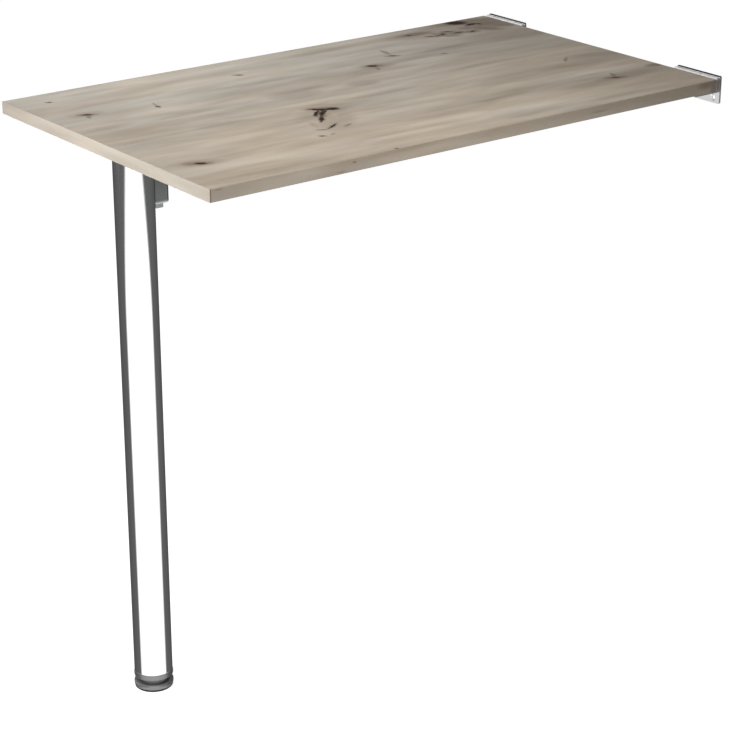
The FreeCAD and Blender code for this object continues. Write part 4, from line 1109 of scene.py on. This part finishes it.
def thread_radius(place):
    """The radius of the thread at a height, as a function of the angle. It thins out at both ends."""
    run_out = min(1.0, place / THREAD_PITCH, (stem_length - place) / THREAD_PITCH)

    def at(angle):
        turn_share = (place / THREAD_PITCH - angle / (2 * math.pi)) % 1.0
        flank = abs(2 * turn_share - 1)
        crest = min(max((flank - THREAD_FLAT) / (1 - 2 * THREAD_FLAT), 0.0), 1.0)
        return stem_radius - THREAD_DEPTH * (1 - crest * run_out)

    return at


row_count = round(stem_length / THREAD_PITCH * ROWS_PER_TURN)
stem_rows = [(stem_length * row / row_count, thread_radius(stem_length * row / row_count))
             for row in range(row_count + 1)]
threaded_stem = turned_piece("threaded_stem", stem_origin, (0.0, 0.0, 1.0), stem_rows, zinc)
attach(threaded_stem, "foot")
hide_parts("foot_stem")

# %% [markdown]
# ## The ribbed rubber pad
# A rubber pad under the disc keeps the foot from sliding. Its underside has ring grooves. They could be
# cut with solids, but a pad is a turned piece, so a few more rows in its profile do it.

# %% Rib the rubber pad
RIB_PITCH = 4.0 * MM
RIB_DEPTH = 0.7 * MM
RIB_SLOPE = 0.5 * MM
FIRST_RIB = 3.0 * MM
PAD_MIDDLE = 1.0 * MM
PAD_EDGE = 0.4 * MM

pad_low, pad_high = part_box("foot_pad")
pad_radius = (pad_high.x - pad_low.x) / 2
pad_height = pad_high.z - pad_low.z
pad_origin = Vector(((pad_low.x + pad_high.x) / 2, (pad_low.y + pad_high.y) / 2, pad_low.z))
pad_rows = [(0.0, PAD_MIDDLE)]
rib_start = FIRST_RIB
while rib_start + RIB_PITCH < pad_radius:
    groove = rib_start + RIB_PITCH / 2
    pad_rows += [(0.0, rib_start), (RIB_DEPTH, rib_start + RIB_SLOPE),
                 (RIB_DEPTH, groove - RIB_SLOPE), (0.0, groove)]
    rib_start += RIB_PITCH
pad_rows += [(0.0, pad_radius - PAD_EDGE), (PAD_EDGE, pad_radius), (pad_height, pad_radius)]
ribbed_pad = turned_piece("ribbed_pad", pad_origin, (0.0, 0.0, 1.0), pad_rows, rubber)
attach(ribbed_pad, "foot")
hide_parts("foot_pad")

# %% [markdown]
# ## The lock nut
# A lock nut holds the pivot bolt: a hexagon whose corners are chamfered on both sides, and a low collar with
# the nylon ring. The chamfer of a real nut is turned on a lathe, and so is this one: near the faces the
# hexagon's radius is held to a limit.

# %% Shape the lock nut
NUT_CHAMFER = 0.9 * MM
NUT_FACE_SHARE, NUT_CHAMFER_SHARE = 0.97, 1.07
NUT_COLLAR_HEIGHT = 1.6 * MM
NUT_COLLAR_RADIUS = 5.6 * MM
NUT_COLLAR_CHAMFER = 0.6 * MM
BORE_RADIUS = 4.0 * MM

nut_low, nut_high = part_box("pivot_nut")
nut_height = nut_high.x - nut_low.x
nut_origin = Vector((nut_high.x, (nut_low.y + nut_high.y) / 2, (nut_low.z + nut_high.z) / 2))
nut_flat = min(nut_high.y - nut_low.y, nut_high.z - nut_low.z) / 2
hexagon_height = nut_height - NUT_COLLAR_HEIGHT


def hexagon(limit):
    """The radius of the hexagon at an angle, turned down to a limit where the corners are chamfered."""
    def at(angle):
        from_flat = (angle + math.pi / 6) % (math.pi / 3) - math.pi / 6
        return min(nut_flat / math.cos(from_flat), limit)
    return at


face_radius = nut_flat * NUT_FACE_SHARE
half_chamfered = hexagon(nut_flat * NUT_CHAMFER_SHARE)
whole = hexagon(nut_flat / math.cos(math.pi / 6))
nut_rows = [(0.0, BORE_RADIUS), (0.0, face_radius), (NUT_CHAMFER / 2, half_chamfered), (NUT_CHAMFER, whole),
            (hexagon_height - NUT_CHAMFER, whole), (hexagon_height - NUT_CHAMFER / 2, half_chamfered),
            (hexagon_height, face_radius), (hexagon_height, NUT_COLLAR_RADIUS),
            (nut_height - NUT_COLLAR_CHAMFER, NUT_COLLAR_RADIUS),
            (nut_height, NUT_COLLAR_RADIUS - NUT_COLLAR_CHAMFER), (nut_height, BORE_RADIUS)]
lock_nut = turned_piece("lock_nut", nut_origin, (-1.0, 0.0, 0.0), nut_rows, zinc)
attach(lock_nut, "table_top")
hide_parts("pivot_nut")

# %% [markdown]
# ## The weld beads
# Two beads hold the bracket under its plate, one in each outer corner. A bead is a rippled quarter round
# that thins out at its ends. A curve with a round profile would look too even, so the bead is built in
# sections of half a millimetre, each with its own reach.

# %% Shape a section of a bead
BEAD_REACH = 2.4 * MM
BEAD_RIPPLE = 0.35 * MM
RIPPLE_LENGTH = 2.6 * MM
BEAD_STEP = 0.5 * MM
BEAD_POINTS = 6
BEAD_END_INSETS = (6.0 * MM, 4.0 * MM)
BEAD_FADE, BEAD_BLUNT_END = 3.0 * MM, 0.15
BEAD_ROOT = (0.2 * MM, 0.1 * MM)
BEAD_FLAT, BEAD_BULGE = 0.82, 0.18

cheek_low, cheek_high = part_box("leg_bracket")
bead_start, bead_stop = cheek_low.y + BEAD_END_INSETS[0], cheek_high.y - BEAD_END_INSETS[1]
bead_mesh = bmesh.new()


def bead_section(corner_x, outward, place):
    """One section of a bead: its root in the corner, and its round back."""
    from_end = max(min(place - bead_start, bead_stop - place), 0.0)
    end_fade = min(1.0, math.sqrt(from_end / BEAD_FADE) + BEAD_BLUNT_END)
    reach = (BEAD_REACH - BEAD_RIPPLE * abs(math.sin(math.pi * place / RIPPLE_LENGTH))) * end_fade
    section = [bead_mesh.verts.new((corner_x - outward * BEAD_ROOT[0], place, cheek_high.z + BEAD_ROOT[1]))]
    for point in range(BEAD_POINTS + 1):
        angle = math.pi / 2 * point / BEAD_POINTS
        bulge = reach * (BEAD_FLAT + BEAD_BULGE * abs(math.cos(2 * angle)))
        section.append(bead_mesh.verts.new((corner_x + outward * bulge * math.cos(angle), place,
                                            cheek_high.z - bulge * math.sin(angle))))
    return section


print("each bead is", round((bead_stop - bead_start) / MM, 1), "mm long")

# %% [markdown]
# ## Beads from sections
# The sections of a bead are joined by a strip of faces and closed at both ends, so that each bead is a
# solid without stray faces. Both beads go into one mesh, because they ride on the same body.

# %% Lay the weld beads
for outward in (-1, 1):
    corner_x = cheek_high.x if outward > 0 else cheek_low.x
    sections = [bead_section(corner_x, outward, bead_start + step * BEAD_STEP)
                for step in range(round((bead_stop - bead_start) / BEAD_STEP) + 1)]
    for first, second in zip(sections, sections[1:]):
        for point in range(len(first)):
            following = (point + 1) % len(first)
            bead_mesh.faces.new((first[point], first[following], second[following], second[point]))
    bead_mesh.faces.new(sections[0])
    bead_mesh.faces.new(list(reversed(sections[-1])))
weld_beads = add_piece("weld_beads", bead_mesh, satin_grey)
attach(weld_beads, "table_top")
